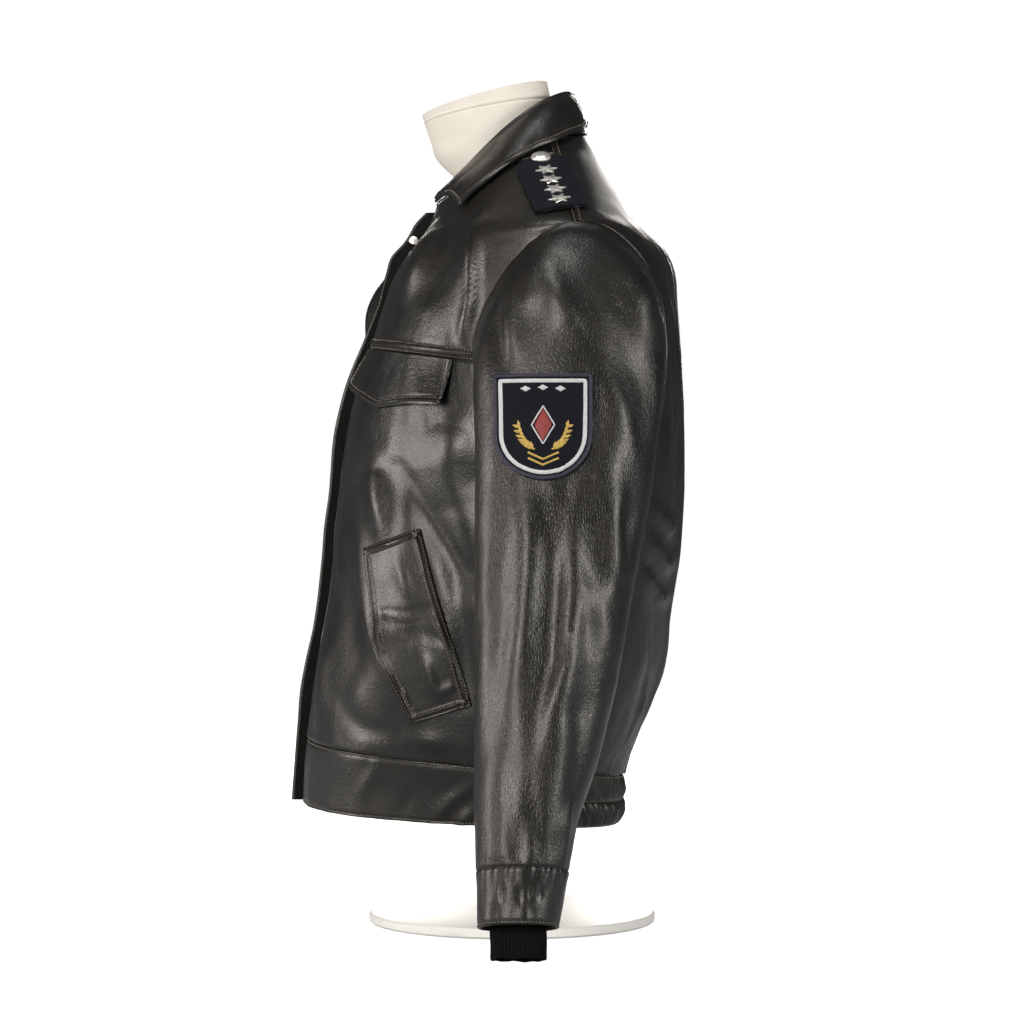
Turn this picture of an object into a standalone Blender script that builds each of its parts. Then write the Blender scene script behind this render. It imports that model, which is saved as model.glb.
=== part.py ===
"""Police uniform jacket of black leather, worn by a limbless dress form on a pole and base.

Metres, +Z up. The front faces -Y and the wearer's left is +X. Every cloth piece is a wall whose
outer points come from one torso surface and one sleeve surface.
"""

import math

import bmesh
import bpy
import numpy as np
from mathutils import Vector
from mathutils.bvhtree import BVHTree

# Driving sizes of the jacket
LEATHER = 0.0020
SEAM_TRIM = 0.00016
SLEEVE_HEAD_TRIM = 0.0004
SEAM_GAP = 0.0004
HEM_SIDE = 0.110
HEM_FRONT = 0.118
HEM_BACK = 0.100
BAND_FRONT = 0.182
BAND_SIDE = 0.162
BAND_BACK = 0.146
CHEST_SEAM_FRONT = 0.5585
CHEST_SEAM_SIDE = 0.537
UNDERARM = 0.432
SHOULDER_POINT = 0.6627
NECK_FRONT = 0.700
NECK_SIDE = 0.758
NECK_BACK = 0.769

# Horizontal sections of the jacket: half width, front and back line, line of the side and shoulder seams,
# and how square the front and back halves are (2 is an ellipse)
SECTION_COLUMNS = ("height", "half_width", "front", "back", "side", "front_shape", "back_shape")
SECTIONS = (
    (0.095, 0.186, -0.2045, 0.1035, 0.000, 2.3, 2.4),
    (0.118, 0.190, -0.2040, 0.1085, 0.002, 2.3, 2.4),
    (0.142, 0.193, -0.2030, 0.1080, 0.005, 2.3, 2.4),
    (0.162, 0.198, -0.2020, 0.1140, 0.008, 2.3, 2.4),
    (0.182, 0.204, -0.2000, 0.1215, 0.012, 2.3, 2.5),
    (0.207, 0.210, -0.1970, 0.1310, 0.018, 2.3, 2.5),
    (0.258, 0.219, -0.1900, 0.1455, 0.028, 2.3, 2.6),
    (0.317, 0.225, -0.1793, 0.1530, 0.038, 2.2, 2.7),
    (0.390, 0.228, -0.1720, 0.1617, 0.048, 2.2, 2.8),
    (0.461, 0.229, -0.1637, 0.1648, 0.055, 2.2, 2.9),
    (0.515, 0.229, -0.1529, 0.1652, 0.055, 2.2, 2.9),
    (0.570, 0.231, -0.1352, 0.1630, 0.055, 2.2, 2.8),
    (0.603, 0.233, -0.1254, 0.1610, 0.055, 2.15, 2.7),
    (0.630, 0.235, -0.1140, 0.1580, 0.055, 2.1, 2.6),
    (0.648, 0.236, -0.1020, 0.1500, 0.055, 2.05, 2.4),
    (0.6627, 0.235, -0.0880, 0.1370, 0.055, 2.0, 2.2),
    (0.675, 0.2140, -0.0813, 0.1270, 0.053, 1.95, 2.1),
    (0.702, 0.1670, -0.0745, 0.1095, 0.048, 1.9, 2.0),
    (0.735, 0.1100, -0.0660, 0.0902, 0.040, 1.9, 2.0),
    (0.750, 0.0840, -0.0600, 0.0820, 0.036, 1.9, 2.0),
    (0.760, 0.0740, -0.0570, 0.0765, 0.034, 1.9, 2.0),
    (0.775, 0.0640, -0.0520, 0.0690, 0.031, 1.9, 2.0),
)

# The front edges: half the gap between them, and how far the right one stands ahead of the left
EDGE_COLUMNS = ("height", "half_gap", "ahead")
EDGES = (
    (0.095, 0.0040, 0.0125),
    (0.350, 0.0040, 0.0120),
    (0.520, 0.0040, 0.0120),
    (0.575, 0.0045, 0.0090),
    (0.603, 0.0070, 0.0065),
    (0.633, 0.0130, 0.0110),
    (0.658, 0.0200, 0.0200),
    (0.680, 0.0260, 0.0200),
    (0.702, 0.0300, 0.0070),
)

# Armhole seen from the side: its middle, half height, reach and squareness
ARMHOLE_MIDDLE = (0.055, (SHOULDER_POINT + UNDERARM) / 2)
ARMHOLE_HALF_HEIGHT = (SHOULDER_POINT - UNDERARM) / 2
ARMHOLE_REACH_FRONT = 0.090
ARMHOLE_REACH_BACK = 0.086
ARMHOLE_SHAPE_TOP_FRONT = 1.55
ARMHOLE_SHAPE_TOP_BACK = 2.1
ARMHOLE_SHAPE_LOW = 2.0

# Sleeve rings from the armhole to the cuff: outer and inner profile, front and back edge, squareness
SLEEVE_COLUMNS = ("ring", "outer_x", "outer_z", "inner_x", "inner_z", "front_y", "back_y", "shape")
SLEEVE = (
    (0, 0.2350, 0.6627, 0.2220, 0.4320, -0.0360, 0.1405, 2.0),
    (1, 0.2620, 0.6460, 0.2350, 0.4180, -0.0365, 0.1400, 2.0),
    (2, 0.2880, 0.6120, 0.2430, 0.4020, -0.0350, 0.1350, 2.1),
    (3, 0.3060, 0.5650, 0.2470, 0.3840, -0.0335, 0.1305, 2.1),
    (4, 0.3210, 0.5050, 0.2520, 0.3600, -0.0330, 0.1260, 2.1),
    (5, 0.3350, 0.4400, 0.2570, 0.3350, -0.0330, 0.1185, 2.1),
    (6, 0.3470, 0.3850, 0.2630, 0.3050, -0.0330, 0.1095, 2.1),
    (7, 0.3590, 0.3250, 0.2710, 0.2700, -0.0330, 0.1012, 2.1),
    (8, 0.3710, 0.2650, 0.2820, 0.2250, -0.0335, 0.0910, 2.1),
    (9, 0.3840, 0.2050, 0.2950, 0.1720, -0.0336, 0.0765, 2.1),
    (10, 0.3980, 0.1450, 0.3130, 0.1220, -0.0330, 0.0590, 2.1),
    (11, 0.4085, 0.1000, 0.3310, 0.0820, -0.0317, 0.0495, 2.1),
)
LAST_RING = 11
CAP_RINGS = 3.0
CUFF_END = {"outer_x": 0.4166, "outer_z": 0.0520, "inner_x": 0.3455, "inner_z": 0.0355}
CUFF_END_FRONT = -0.0310
CUFF_END_BACK = 0.0405
KNIT_CENTRE_TOP = (0.3770, 0.0050, 0.0600)
KNIT_CENTRE_LOW = (0.3870, 0.0055, 0.0175)
KNIT_HALF_X = 0.0215
KNIT_HALF_Y = 0.0245
KNIT_WALL = 0.0024
KNIT_RIBS = 26
KNIT_RIB_HEIGHT = 0.0009
SLEEVE_TILT = math.radians(13)

# Large folds. On the sides they run from one point (y, z) to another as seen from the side,
# on the back from (x, z) to (x, z). Columns: the two places, width, and height, positive for a ridge
FRONT_FOLDS = (
    (-0.066, 0.672, -0.106, 0.610, 0.013, 0.0032),
    (-0.050, 0.680, -0.075, 0.600, 0.016, -0.0030),
    (-0.040, 0.655, -0.046, 0.570, 0.012, 0.0028),
    (-0.060, 0.480, -0.030, 0.440, 0.022, 0.0040),
    (-0.078, 0.430, -0.036, 0.330, 0.018, -0.0048),
    (-0.128, 0.430, -0.105, 0.375, 0.016, 0.0034),
    (-0.150, 0.330, -0.160, 0.230, 0.018, -0.0030),
    (-0.090, 0.300, -0.150, 0.215, 0.020, 0.0030),
    (-0.040, 0.300, -0.060, 0.200, 0.018, -0.0040),
)
BACK_FOLDS = (
    (0.150, 0.560, 0.090, 0.380, 0.026, -0.0055),
    (-0.150, 0.550, -0.100, 0.370, 0.026, -0.0055),
    (0.060, 0.500, 0.070, 0.250, 0.028, 0.0040),
    (-0.055, 0.480, -0.070, 0.240, 0.028, 0.0040),
    (0.010, 0.420, -0.005, 0.230, 0.024, -0.0040),
    (0.160, 0.330, 0.110, 0.230, 0.020, -0.0055),
    (-0.155, 0.320, -0.115, 0.220, 0.020, -0.0055),
)
SLEEVE_FOLDS = (
    (0.030, 0.640, 0.046, 0.560, 0.014, 0.0030),
    (0.112, 0.610, 0.128, 0.545, 0.014, 0.0045),
    (0.098, 0.580, 0.118, 0.480, 0.014, -0.0045),
    (0.078, 0.480, 0.094, 0.350, 0.015, 0.0042),
    (0.056, 0.420, 0.070, 0.300, 0.015, -0.0040),
    (0.020, 0.400, 0.006, 0.150, 0.013, 0.0035),
    (-0.008, 0.430, -0.012, 0.200, 0.013, -0.0035),
    (0.050, 0.330, 0.038, 0.130, 0.012, 0.0040),
    (0.072, 0.260, 0.050, 0.150, 0.011, -0.0032),
)
CHEST_BULGE = {"x": 0.055, "width": 0.045, "low": 0.605, "spread": 0.052, "depth": 0.023}

# Gathers of the back waistband
PLEATS = 52
PLEAT_HEIGHT = 0.0030

# Dress form, pole and base
FORM_GAP = 0.0012
FORM_BOTTOM = 0.150
FORM_COLUMNS = ("height", "half_width", "front", "back")
FORM_TRUNK = (
    (0.150, 0.150, -0.135, 0.075),
    (0.200, 0.155, -0.135, 0.085),
    (0.270, 0.150, -0.128, 0.090),
    (0.360, 0.158, -0.130, 0.112),
    (0.440, 0.170, -0.138, 0.135),
    (0.520, 0.178, -0.136, 0.145),
    (0.580, 0.186, -0.118, 0.148),
    (0.630, 0.200, -0.096, 0.143),
)
NECK_COLUMNS = ("height", "half_width", "front", "back")
NECK = (
    (0.726, 0.0600, -0.0545, 0.0560),
    (0.745, 0.0575, -0.0735, 0.0540),
    (0.765, 0.0560, -0.0790, 0.0480),
    (0.785, 0.0550, -0.0840, 0.0400),
    (0.805, 0.0545, -0.0880, 0.0345),
)
NECK_TOP_RISE = 0.27
POLE_RADIUS = 0.0165
BASE_RADIUS = 0.140
BASE_THICK = 0.010
TOUCH = 0.0003

# Pieces that lie on the panels
FLAP_LIFT = 0.0009
POCKET_LIFT = 0.0017
FLAP_THICK = 0.0026
STRAP_LIFT = 0.0010
STRAP_THICK = 0.0020
SLIDE_THICK = 0.0018
STAR_COUNT = 4
STAR_POINTS = 6
STAR_RADIUS = 0.0105
STAR_THICK = 0.0012
STAR_TURN = 0.23
STAR_NOTCH = 0.52
STAR_CROWN = 0.0008
BUTTON_RADIUS = 0.0095
PATCH_LIFT = 0.0012
PATCH_THICK = 0.0016

LEFT = 1
RIGHT = -1
SIDES = {"left": LEFT, "right": RIGHT}

LEATHER_BLACK = ("black leather", (0.035, 0.032, 0.028), 0.42, 0.0)
KNIT_BLACK = ("black knit", (0.008, 0.008, 0.009), 0.95, 0.0)
TAPE_BLACK = ("black tape", (0.006, 0.006, 0.007), 0.90, 0.0)
SLIDE_NAVY = ("navy textile", (0.006, 0.008, 0.018), 0.90, 0.0)
SILVER = ("silver metal", (0.78, 0.77, 0.74), 0.30, 1.0)
FORM_CREAM = ("cream linen", (0.80, 0.77, 0.70), 0.85, 0.0)
PALE_STEEL = ("pale painted steel", (0.86, 0.86, 0.85), 0.45, 0.0)


def clear_scene():
    for thing in list(bpy.data.objects):
        bpy.data.objects.remove(thing, do_unlink=True)


def flowing(at, places, values):
    """A smooth curve through the values, read at the given places, flat where the values turn."""
    places = np.asarray(places, float)
    values = np.asarray(values, float)
    steps = np.diff(values) / np.diff(places)
    slopes = np.concatenate([steps[:1], (steps[:-1] + steps[1:]) / 2, steps[-1:]])
    turning = np.concatenate([[False], steps[:-1] * steps[1:] <= 0, [False]])
    slopes = np.where(turning, 0.0, slopes)
    at = np.clip(np.asarray(at, float), places[0], places[-1])
    span = np.clip(np.searchsorted(places, at, side="right") - 1, 0, len(places) - 2)
    width = places[span + 1] - places[span]
    t = (at - places[span]) / width
    rise = values[span] * (2 * t**3 - 3 * t**2 + 1) + values[span + 1] * (3 * t**2 - 2 * t**3)
    lean = slopes[span] * (t**3 - 2 * t**2 + t) + slopes[span + 1] * (t**3 - t**2)
    return rise + lean * width


def column(rows, columns, name, at):
    places = [row[0] for row in rows]
    values = [row[columns.index(name)] for row in rows]
    return flowing(at, places, values)


def section(height, name):
    return column(SECTIONS, SECTION_COLUMNS, name, height)


def power(value, exponent):
    return np.sign(value) * np.abs(value) ** exponent


def unit(vectors):
    return vectors / np.maximum(np.linalg.norm(vectors, axis=-1, keepdims=True), 1e-12)


def fold_field(across, up, folds):
    """Height of all the folds at each place, each a soft ridge or trough along its line."""
    total = np.zeros(np.broadcast(across, up).shape)
    for across_1, up_1, across_2, up_2, width, height in folds:
        run = np.array([across_2 - across_1, up_2 - up_1])
        length = np.hypot(*run)
        along = ((across - across_1) * run[0] + (up - up_1) * run[1]) / length**2
        held = np.clip(along, 0, 1)
        away = np.hypot(across - across_1 - held * run[0], up - up_1 - held * run[1])
        ends = np.sin(np.pi * np.clip(along * 0.8 + 0.1, 0, 1)) ** 0.8
        total = total + height * ends * np.exp(-((away / width) ** 2))
    return total


def bare_torso(theta, height, side=LEFT):
    """The jacket with no folds: theta is -90 degrees at the front, 0 at the side, 90 at the back."""
    theta, height = np.broadcast_arrays(np.asarray(theta, float), np.asarray(height, float))
    sine, cosine = np.sin(theta), np.cos(theta)
    middle = section(height, "side")
    ahead = sine < 0
    shape = np.where(ahead, section(height, "front_shape"), section(height, "back_shape"))
    reach = np.where(ahead, middle - section(height, "front"), section(height, "back") - middle)
    x = section(height, "half_width") * power(cosine, 2 / shape)
    y = middle + reach * power(sine, 2 / shape)
    if side == RIGHT:
        bulge = CHEST_BULGE
        sideways = np.exp(-(((x - bulge["x"]) / bulge["width"]) ** 2))
        upward = np.exp(-(((height - bulge["low"]) / bulge["spread"]) ** 2))
        inside = np.clip((x - 0.004) / 0.030, 0, 1)
        below_neck = np.clip((0.690 - height) / 0.03, 0, 1)
        y = y - np.where(ahead, bulge["depth"] * sideways * upward * inside * below_neck, 0)
    return np.stack([side * x, y, height], axis=-1)


def grid_normal(function, first, second):
    """Unit normals of a surface given as a function, by small steps of its two parameters."""
    step = 1e-4
    across = function(first + step, second) - function(first - step, second)
    along = function(first, second + step) - function(first, second - step)
    return unit(np.cross(across, along))


def torso(theta, height, side=LEFT):
    """The jacket's outer surface with its folds."""
    theta, height = np.broadcast_arrays(np.asarray(theta, float), np.asarray(height, float))
    base = bare_torso(theta, height, side)
    out = side * grid_normal(lambda a, b: bare_torso(a, b, side), theta, height)
    frontness = np.clip(0.5 - np.sin(theta) * 2.2, 0, 1)
    fronts = fold_field(base[..., 1], height, FRONT_FOLDS) * frontness
    backs = fold_field(base[..., 0], height, BACK_FOLDS) * (1 - frontness)
    calm = np.clip((0.700 - height) / 0.05, 0, 1) * np.clip((height - 0.175) / 0.05, 0, 1)
    return base + out * ((fronts + backs) * calm)[..., None]


def torso_normal(theta, height, side=LEFT):
    return side * grid_normal(lambda a, b: torso(a, b, side), theta, height)


def angle_at_y(y, height):
    """The front or back angle whose point lies at this y on the section at this height."""
    middle = section(height, "side")
    ahead = y < middle
    shape = np.where(ahead, section(height, "front_shape"), section(height, "back_shape"))
    reach = np.where(ahead, middle - section(height, "front"), section(height, "back") - middle)
    return np.arcsin(np.clip(power((y - middle) / reach, shape / 2), -1, 1))


def angle_at_x(x, height):
    """The front angle whose point lies this far from the middle."""
    share = np.clip(x / section(height, "half_width"), 0, 1)
    return -np.arccos(share ** (section(height, "front_shape") / 2))


def armhole(psi):
    """Angle and height on the torso along the armhole: psi is 0 at the top and 90 degrees in front."""
    psi = np.asarray(psi, float)
    cosine, sine = np.cos(psi), np.sin(psi)
    top = np.where(sine > 0, ARMHOLE_SHAPE_TOP_FRONT, ARMHOLE_SHAPE_TOP_BACK)
    shape = np.where(cosine > 0, top, ARMHOLE_SHAPE_LOW)
    reach = np.where(sine > 0, ARMHOLE_REACH_FRONT, ARMHOLE_REACH_BACK)
    height = ARMHOLE_MIDDLE[1] + ARMHOLE_HALF_HEIGHT * power(cosine, 2 / shape)
    y = ARMHOLE_MIDDLE[0] - reach * power(sine, 2 / shape)
    return angle_at_y(y, height), height


def ring_point(psi, outer, inner, front_y, back_y, shape):
    """A point of a sleeve ring between an outer and an inner point, its front and its back."""
    cosine = power(np.cos(psi), 2 / shape)
    sine = power(np.sin(psi), 2 / shape)
    x = (outer[0] + inner[0]) / 2 + (outer[0] - inner[0]) / 2 * cosine
    z = (outer[1] + inner[1]) / 2 + (outer[1] - inner[1]) / 2 * cosine
    y = (front_y + back_y) / 2 - (back_y - front_y) / 2 * sine
    return np.stack([x, y, z], axis=-1)


def bare_sleeve(psi, ring):
    psi, ring = np.broadcast_arrays(np.asarray(psi, float), np.asarray(ring, float))
    value = {name: column(SLEEVE, SLEEVE_COLUMNS, name, ring) for name in SLEEVE_COLUMNS[1:]}
    outer = (value["outer_x"], value["outer_z"])
    inner = (value["inner_x"], value["inner_z"])
    points = ring_point(psi, outer, inner, value["front_y"], value["back_y"], value["shape"])
    first = SLEEVE[0]
    at_start = ring_point(psi, first[1:3], first[3:5], first[5], first[6], first[7])
    fade = np.clip(1 - ring / CAP_RINGS, 0, 1) ** 2
    return points + fade[..., None] * (torso(*armhole(psi)) - at_start)


def sleeve(psi, ring):
    """The left sleeve's outer surface with its folds."""
    psi, ring = np.broadcast_arrays(np.asarray(psi, float), np.asarray(ring, float))
    base = bare_sleeve(psi, ring)
    out = grid_normal(bare_sleeve, psi, ring)
    field = fold_field(base[..., 1], base[..., 2], SLEEVE_FOLDS)
    calm = np.clip(ring / 1.2, 0, 1) * np.clip((LAST_RING - ring) / 0.8, 0, 1)
    return base + out * (field * calm * (0.35 + 0.65 * np.clip(np.cos(psi) + 0.5, 0, 1)))[..., None]


def sleeve_normal(psi, ring):
    return grid_normal(sleeve, psi, ring)


def armhole_normal(psi):
    """The direction halfway between the body's and the sleeve's, for both edges of the seam."""
    theta, height = armhole(psi)
    ahead = sleeve_normal(psi, 0.05)
    return unit(torso_normal(theta, height) + ahead)


def trimmed(points, left=0.0, right=0.0, low=0.0, high=0.0):
    """The grid with its edges drawn in by these distances."""
    points = points.copy()
    points[:, 0] += unit(points[:, 1] - points[:, 0]) * left
    points[:, -1] += unit(points[:, -2] - points[:, -1]) * right
    points[0] += unit(points[1] - points[0]) * low
    points[-1] += unit(points[-2] - points[-1]) * high
    return points


def quads_of_grid(rows, columns, first, closed, flip):
    faces = []
    for row in range(rows - 1):
        for place in range(columns if closed else columns - 1):
            after = (place + 1) % columns
            face = [first + row * columns + place, first + row * columns + after]
            face += [first + (row + 1) * columns + after, first + (row + 1) * columns + place]
            faces.append(turned_over(face) if flip else face)
    return faces


def turned_over(face):
    """The face seen from behind, from the same first point, so that it splits the same way."""
    return [face[0]] + face[:0:-1]


def wall(name, outer, inner, material, closed=False, mirror=False):
    """A closed wall between two grids of points. closed joins its last column to its first."""
    rows, columns = outer.shape[:2]
    count = rows * columns
    points = np.concatenate([outer.reshape(-1, 3), inner.reshape(-1, 3)])
    faces = quads_of_grid(rows, columns, 0, closed, False)
    faces += quads_of_grid(rows, columns, count, closed, True)
    for place in range(columns if closed else columns - 1):
        after = (place + 1) % columns
        faces.append([after, place, count + place, count + after])
        top = (rows - 1) * columns
        faces.append([top + place, top + after, count + top + after, count + top + place])
    if not closed:
        for row in range(rows - 1):
            near, far = row * columns, (row + 1) * columns
            faces.append([near, far, count + far, count + near])
            near, far = near + columns - 1, far + columns - 1
            faces.append([far, near, count + near, count + far])
    if mirror:
        points = points * np.array([-1, 1, 1])
        faces = [turned_over(face) for face in faces]
    return mesh_object(name, points, faces, material)


def mesh_object(name, points, faces, material):
    mesh = bpy.data.meshes.new(name)
    split = []
    for face in faces:
        halves = [face[:3], [face[0], face[2], face[3]]] if len(face) == 4 else [face]
        split += halves
    mesh.from_pydata([tuple(p) for p in points], [], split)
    made = bmesh.new()
    made.from_mesh(mesh)
    bmesh.ops.recalc_face_normals(made, faces=made.faces)
    made.to_mesh(mesh)
    made.free()
    mesh.shade_smooth()
    mesh.set_sharp_from_angle(angle=math.radians(50))
    thing = bpy.data.objects.new(name, mesh)
    return finished(thing, material)


def finished(thing, material):
    if thing.name not in JACKET.objects:
        for old in list(thing.users_collection):
            old.objects.unlink(thing)
        JACKET.objects.link(thing)
    thing.data.materials.clear()
    thing.data.materials.append(made_material(*material))
    return thing


def made_material(name, colour, roughness, metallic):
    material = bpy.data.materials.get(name)
    if material is None:
        material = bpy.data.materials.new(name)
        material.use_nodes = True
        shader = material.node_tree.nodes["Principled BSDF"]
        shader.inputs["Base Color"].default_value = (*colour, 1)
        shader.inputs["Roughness"].default_value = roughness
        shader.inputs["Metallic"].default_value = metallic
    return material


def even_angles(start, end, height, count):
    """Angles at even distances along the section between two angles."""
    fine = np.linspace(start, end, 241)
    points = bare_torso(fine, np.full_like(fine, height))
    walked = np.concatenate([[0], np.cumsum(np.linalg.norm(np.diff(points, axis=0), axis=1))])
    return np.interp(np.linspace(0, walked[-1], count), walked, fine)


FRONT_COLUMNS = 12
FRONT_ROWS_SPREAD = 1.12
BACK_COLUMNS = 25
SIDE_HEIGHTS = np.linspace(BAND_SIDE, UNDERARM, 8)
YOKE_PSI = math.acos((ARMHOLE_MIDDLE[1] - CHEST_SEAM_SIDE) / ARMHOLE_HALF_HEIGHT)
YOKE_PSI = math.pi - YOKE_PSI
FRONT_LOW_PSI = np.linspace(math.pi, YOKE_PSI, 6)
FRONT_HIGH_PSI = np.linspace(YOKE_PSI, 0, 7)
BACK_PSI = np.linspace(math.pi, 2 * math.pi, 11)
SHOULDER_HEIGHTS = np.linspace(SHOULDER_POINT, NECK_SIDE, 6)


def rising(share):
    """How the seams at the chest, hem and neck rise from the front to the side."""
    return share**1.6


def front_row(front_height, theta, height, count=FRONT_COLUMNS):
    """Angles and heights of one row, from the front edge to the side, armhole or shoulder seam."""
    gap = column(EDGES, EDGE_COLUMNS, "half_gap", front_height)
    start = angle_at_x(gap, front_height)
    angles = even_angles(start, theta, (front_height + height) / 2, count)
    share = np.linspace(0, 1, count)
    return angles, front_height + (height - front_height) * rising(share)


def back_row(middle_height, theta, height, count=BACK_COLUMNS):
    """Angles and heights of one row from the left side over the back to the right side."""
    angles = even_angles(theta, math.pi - theta, height, count)
    share = np.linspace(0, 1, count)
    return angles, height + (middle_height - height) * np.sin(np.pi * share) ** 1.4


def rows_of(row_list):
    angles = np.array([row[0] for row in row_list])
    heights = np.array([row[1] for row in row_list])
    return angles, heights


def lower_front_rows():
    on_side = [(0.0, height) for height in SIDE_HEIGHTS]
    on_armhole = [armhole(psi) for psi in FRONT_LOW_PSI[1:]]
    ends = on_side + on_armhole
    part = (len(on_side) - 1) / (len(ends) - 1)
    middle = BAND_FRONT + (CHEST_SEAM_FRONT - BAND_FRONT) * part * FRONT_ROWS_SPREAD
    fronts = list(np.linspace(BAND_FRONT, middle, len(on_side)))
    fronts += list(np.linspace(middle, CHEST_SEAM_FRONT, len(on_armhole) + 1)[1:])
    return [front_row(front, float(end[0]), float(end[1])) for front, end in zip(fronts, ends)]


def yoke_rows():
    ends = [armhole(psi) for psi in FRONT_HIGH_PSI] + [(0.0, h) for h in SHOULDER_HEIGHTS[1:]]
    fronts = np.linspace(CHEST_SEAM_FRONT, NECK_FRONT, len(ends))
    return [front_row(front, float(end[0]), float(end[1])) for front, end in zip(fronts, ends)]


def back_rows():
    ends = [(0.0, height) for height in SIDE_HEIGHTS]
    ends += [armhole(psi) for psi in BACK_PSI[1:]]
    ends += [(0.0, height) for height in SHOULDER_HEIGHTS[1:]]
    rise = [float(end[1]) for end in ends]
    low, high = rise[0], rise[-1]
    middles = [BAND_BACK + (h - low) / (high - low) * (NECK_BACK - BAND_BACK) for h in rise]
    return [back_row(middle, float(end[0]), float(end[1])) for middle, end in zip(middles, ends)]


def panel(name, rows, side, armhole_psi=None, armhole_rows=None, both=False):
    """A torso panel from its rows, with the armhole edge's walls turned halfway to the sleeve."""
    angles, heights = rows_of(rows)
    points = torso(angles, heights, side)
    normals = torso_normal(angles, heights, side)
    if armhole_rows is not None:
        shared = armhole_normal(armhole_psi) * np.array([side, 1, 1])
        place = 0 if both else -1
        normals[armhole_rows, place] = shared
        if both:
            normals[armhole_rows, -1] = shared * np.array([-1, 1, 1])
    outer = trimmed(points, SEAM_TRIM, SEAM_TRIM, SEAM_TRIM, SEAM_TRIM)
    FACETS[name] = points
    return wall(name, outer, outer - normals * LEATHER, LEATHER_BLACK)


def build_fronts():
    side_count = len(SIDE_HEIGHTS)
    for word, side in SIDES.items():
        low_rows = slice(side_count - 1, side_count - 1 + len(FRONT_LOW_PSI))
        panel(f"front_{word}", lower_front_rows(), side, FRONT_LOW_PSI, low_rows)
        panel(f"yoke_{word}", yoke_rows(), side, FRONT_HIGH_PSI, slice(0, len(FRONT_HIGH_PSI)))


def build_back():
    first = len(SIDE_HEIGHTS) - 1
    panel("back", back_rows(), LEFT, BACK_PSI, slice(first, first + len(BACK_PSI)), both=True)


SLEEVE_ROWS = np.array([0, 0.5, 1, 1.7, 2.4, 3.2, 4, 5, 6, 7, 8, 9, 10, 11])
FRONT_SEAM_PLACE = 3
BACK_SEAM_PLACE = 4


def build_sleeves():
    """Two-piece sleeves: the under sleeve spans the bottom of the armhole between its two seams."""
    front = np.concatenate([FRONT_LOW_PSI, FRONT_HIGH_PSI[1:]])
    under = np.concatenate([BACK_PSI[BACK_SEAM_PLACE:0:-1] - 2 * math.pi, [-math.pi]])
    around = np.concatenate([under, front[1:FRONT_SEAM_PLACE + 1] - 2 * math.pi])
    over = np.concatenate([front[FRONT_SEAM_PLACE:], BACK_PSI[:BACK_SEAM_PLACE - 1:-1][1:] - 2 * math.pi])
    for name, turns in (("upper_sleeve", over), ("under_sleeve", around)):
        psi, ring = np.meshgrid(turns, SLEEVE_ROWS)
        points = sleeve(psi, ring)
        normals = sleeve_normal(psi, ring)
        normals[0] = armhole_normal(turns)
        outer = trimmed(points, SEAM_TRIM, SEAM_TRIM, SLEEVE_HEAD_TRIM, SEAM_TRIM)
        FACETS[name] = points
        for word, side in SIDES.items():
            wall(f"{name}_{word}", outer, outer - normals * LEATHER, LEATHER_BLACK, mirror=side == RIGHT)


def leather_cuff(psi, share):
    end = ring_point(
        psi,
        (CUFF_END["outer_x"], CUFF_END["outer_z"]),
        (CUFF_END["inner_x"], CUFF_END["inner_z"]),
        CUFF_END_FRONT,
        CUFF_END_BACK,
        2.1,
    )
    share = np.asarray(share, float)[..., None]
    return sleeve(psi, np.full(np.shape(psi), LAST_RING)) * (1 - share) + end * share


def build_cuffs():
    turns = np.linspace(0, 2 * math.pi, 25)[:-1]
    psi, share = np.meshgrid(turns, np.linspace(0, 1, 4))
    points = leather_cuff(psi, share)
    normals = grid_normal(leather_cuff, psi, share)
    outer = trimmed(points, low=SEAM_TRIM * 2)
    for word, side in SIDES.items():
        inner = outer - normals * LEATHER
        wall(f"cuff_{word}", outer, inner, LEATHER_BLACK, closed=True, mirror=side == RIGHT)


# How far the knit cuff has flared at each share of its height, and its full flare
KNIT_FLARE = ((0.0, 0.0), (0.65, 0.0), (0.80, 0.35), (1.0, 1.0))
KNIT_FLARE_X = 0.0118
KNIT_FLARE_Y = 0.0092


def knit_cuff(psi, share, lift):
    """The ribbed inner cuff from its lower edge up to where it flares to the leather cuff."""
    share = np.asarray(share, float)
    low, top = np.array(KNIT_CENTRE_LOW), np.array(KNIT_CENTRE_TOP)
    centre = low + (top - low) * share[..., None]
    grow = flowing(share, [row[0] for row in KNIT_FLARE], [row[1] for row in KNIT_FLARE])
    half_x = KNIT_HALF_X + lift + grow * KNIT_FLARE_X
    half_y = KNIT_HALF_Y + lift + grow * KNIT_FLARE_Y
    across = half_x * np.cos(psi)
    x = centre[..., 0] + across * math.cos(SLEEVE_TILT)
    z = centre[..., 2] + across * math.sin(SLEEVE_TILT)
    return np.stack([x, centre[..., 1] - half_y * np.sin(psi), z], axis=-1)


def build_knit_cuffs():
    turns = np.linspace(0, 2 * math.pi, 2 * KNIT_RIBS + 1)[:-1]
    psi, share = np.meshgrid(turns, np.array([1.0, 0.72, 0.0]))
    ribs = np.where(np.arange(len(turns)) % 2 == 0, 0.0, -KNIT_RIB_HEIGHT)
    outer = knit_cuff(psi, share, ribs[None, :])
    inner = knit_cuff(psi, share, -KNIT_WALL)
    for word, side in SIDES.items():
        wall(f"knit_cuff_{word}", outer, inner, KNIT_BLACK, closed=True, mirror=side == RIGHT)


def build_front_waistbands():
    for word, side in SIDES.items():
        rows = []
        for share in (0.0, 0.5, 1.0):
            front = HEM_FRONT + (BAND_FRONT - SEAM_GAP - HEM_FRONT) * share
            edge = HEM_SIDE + (BAND_SIDE - SEAM_GAP - HEM_SIDE) * share
            rows.append(front_row(front, 0.0, edge))
        panel(f"waistband_{word}", rows, side)


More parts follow.
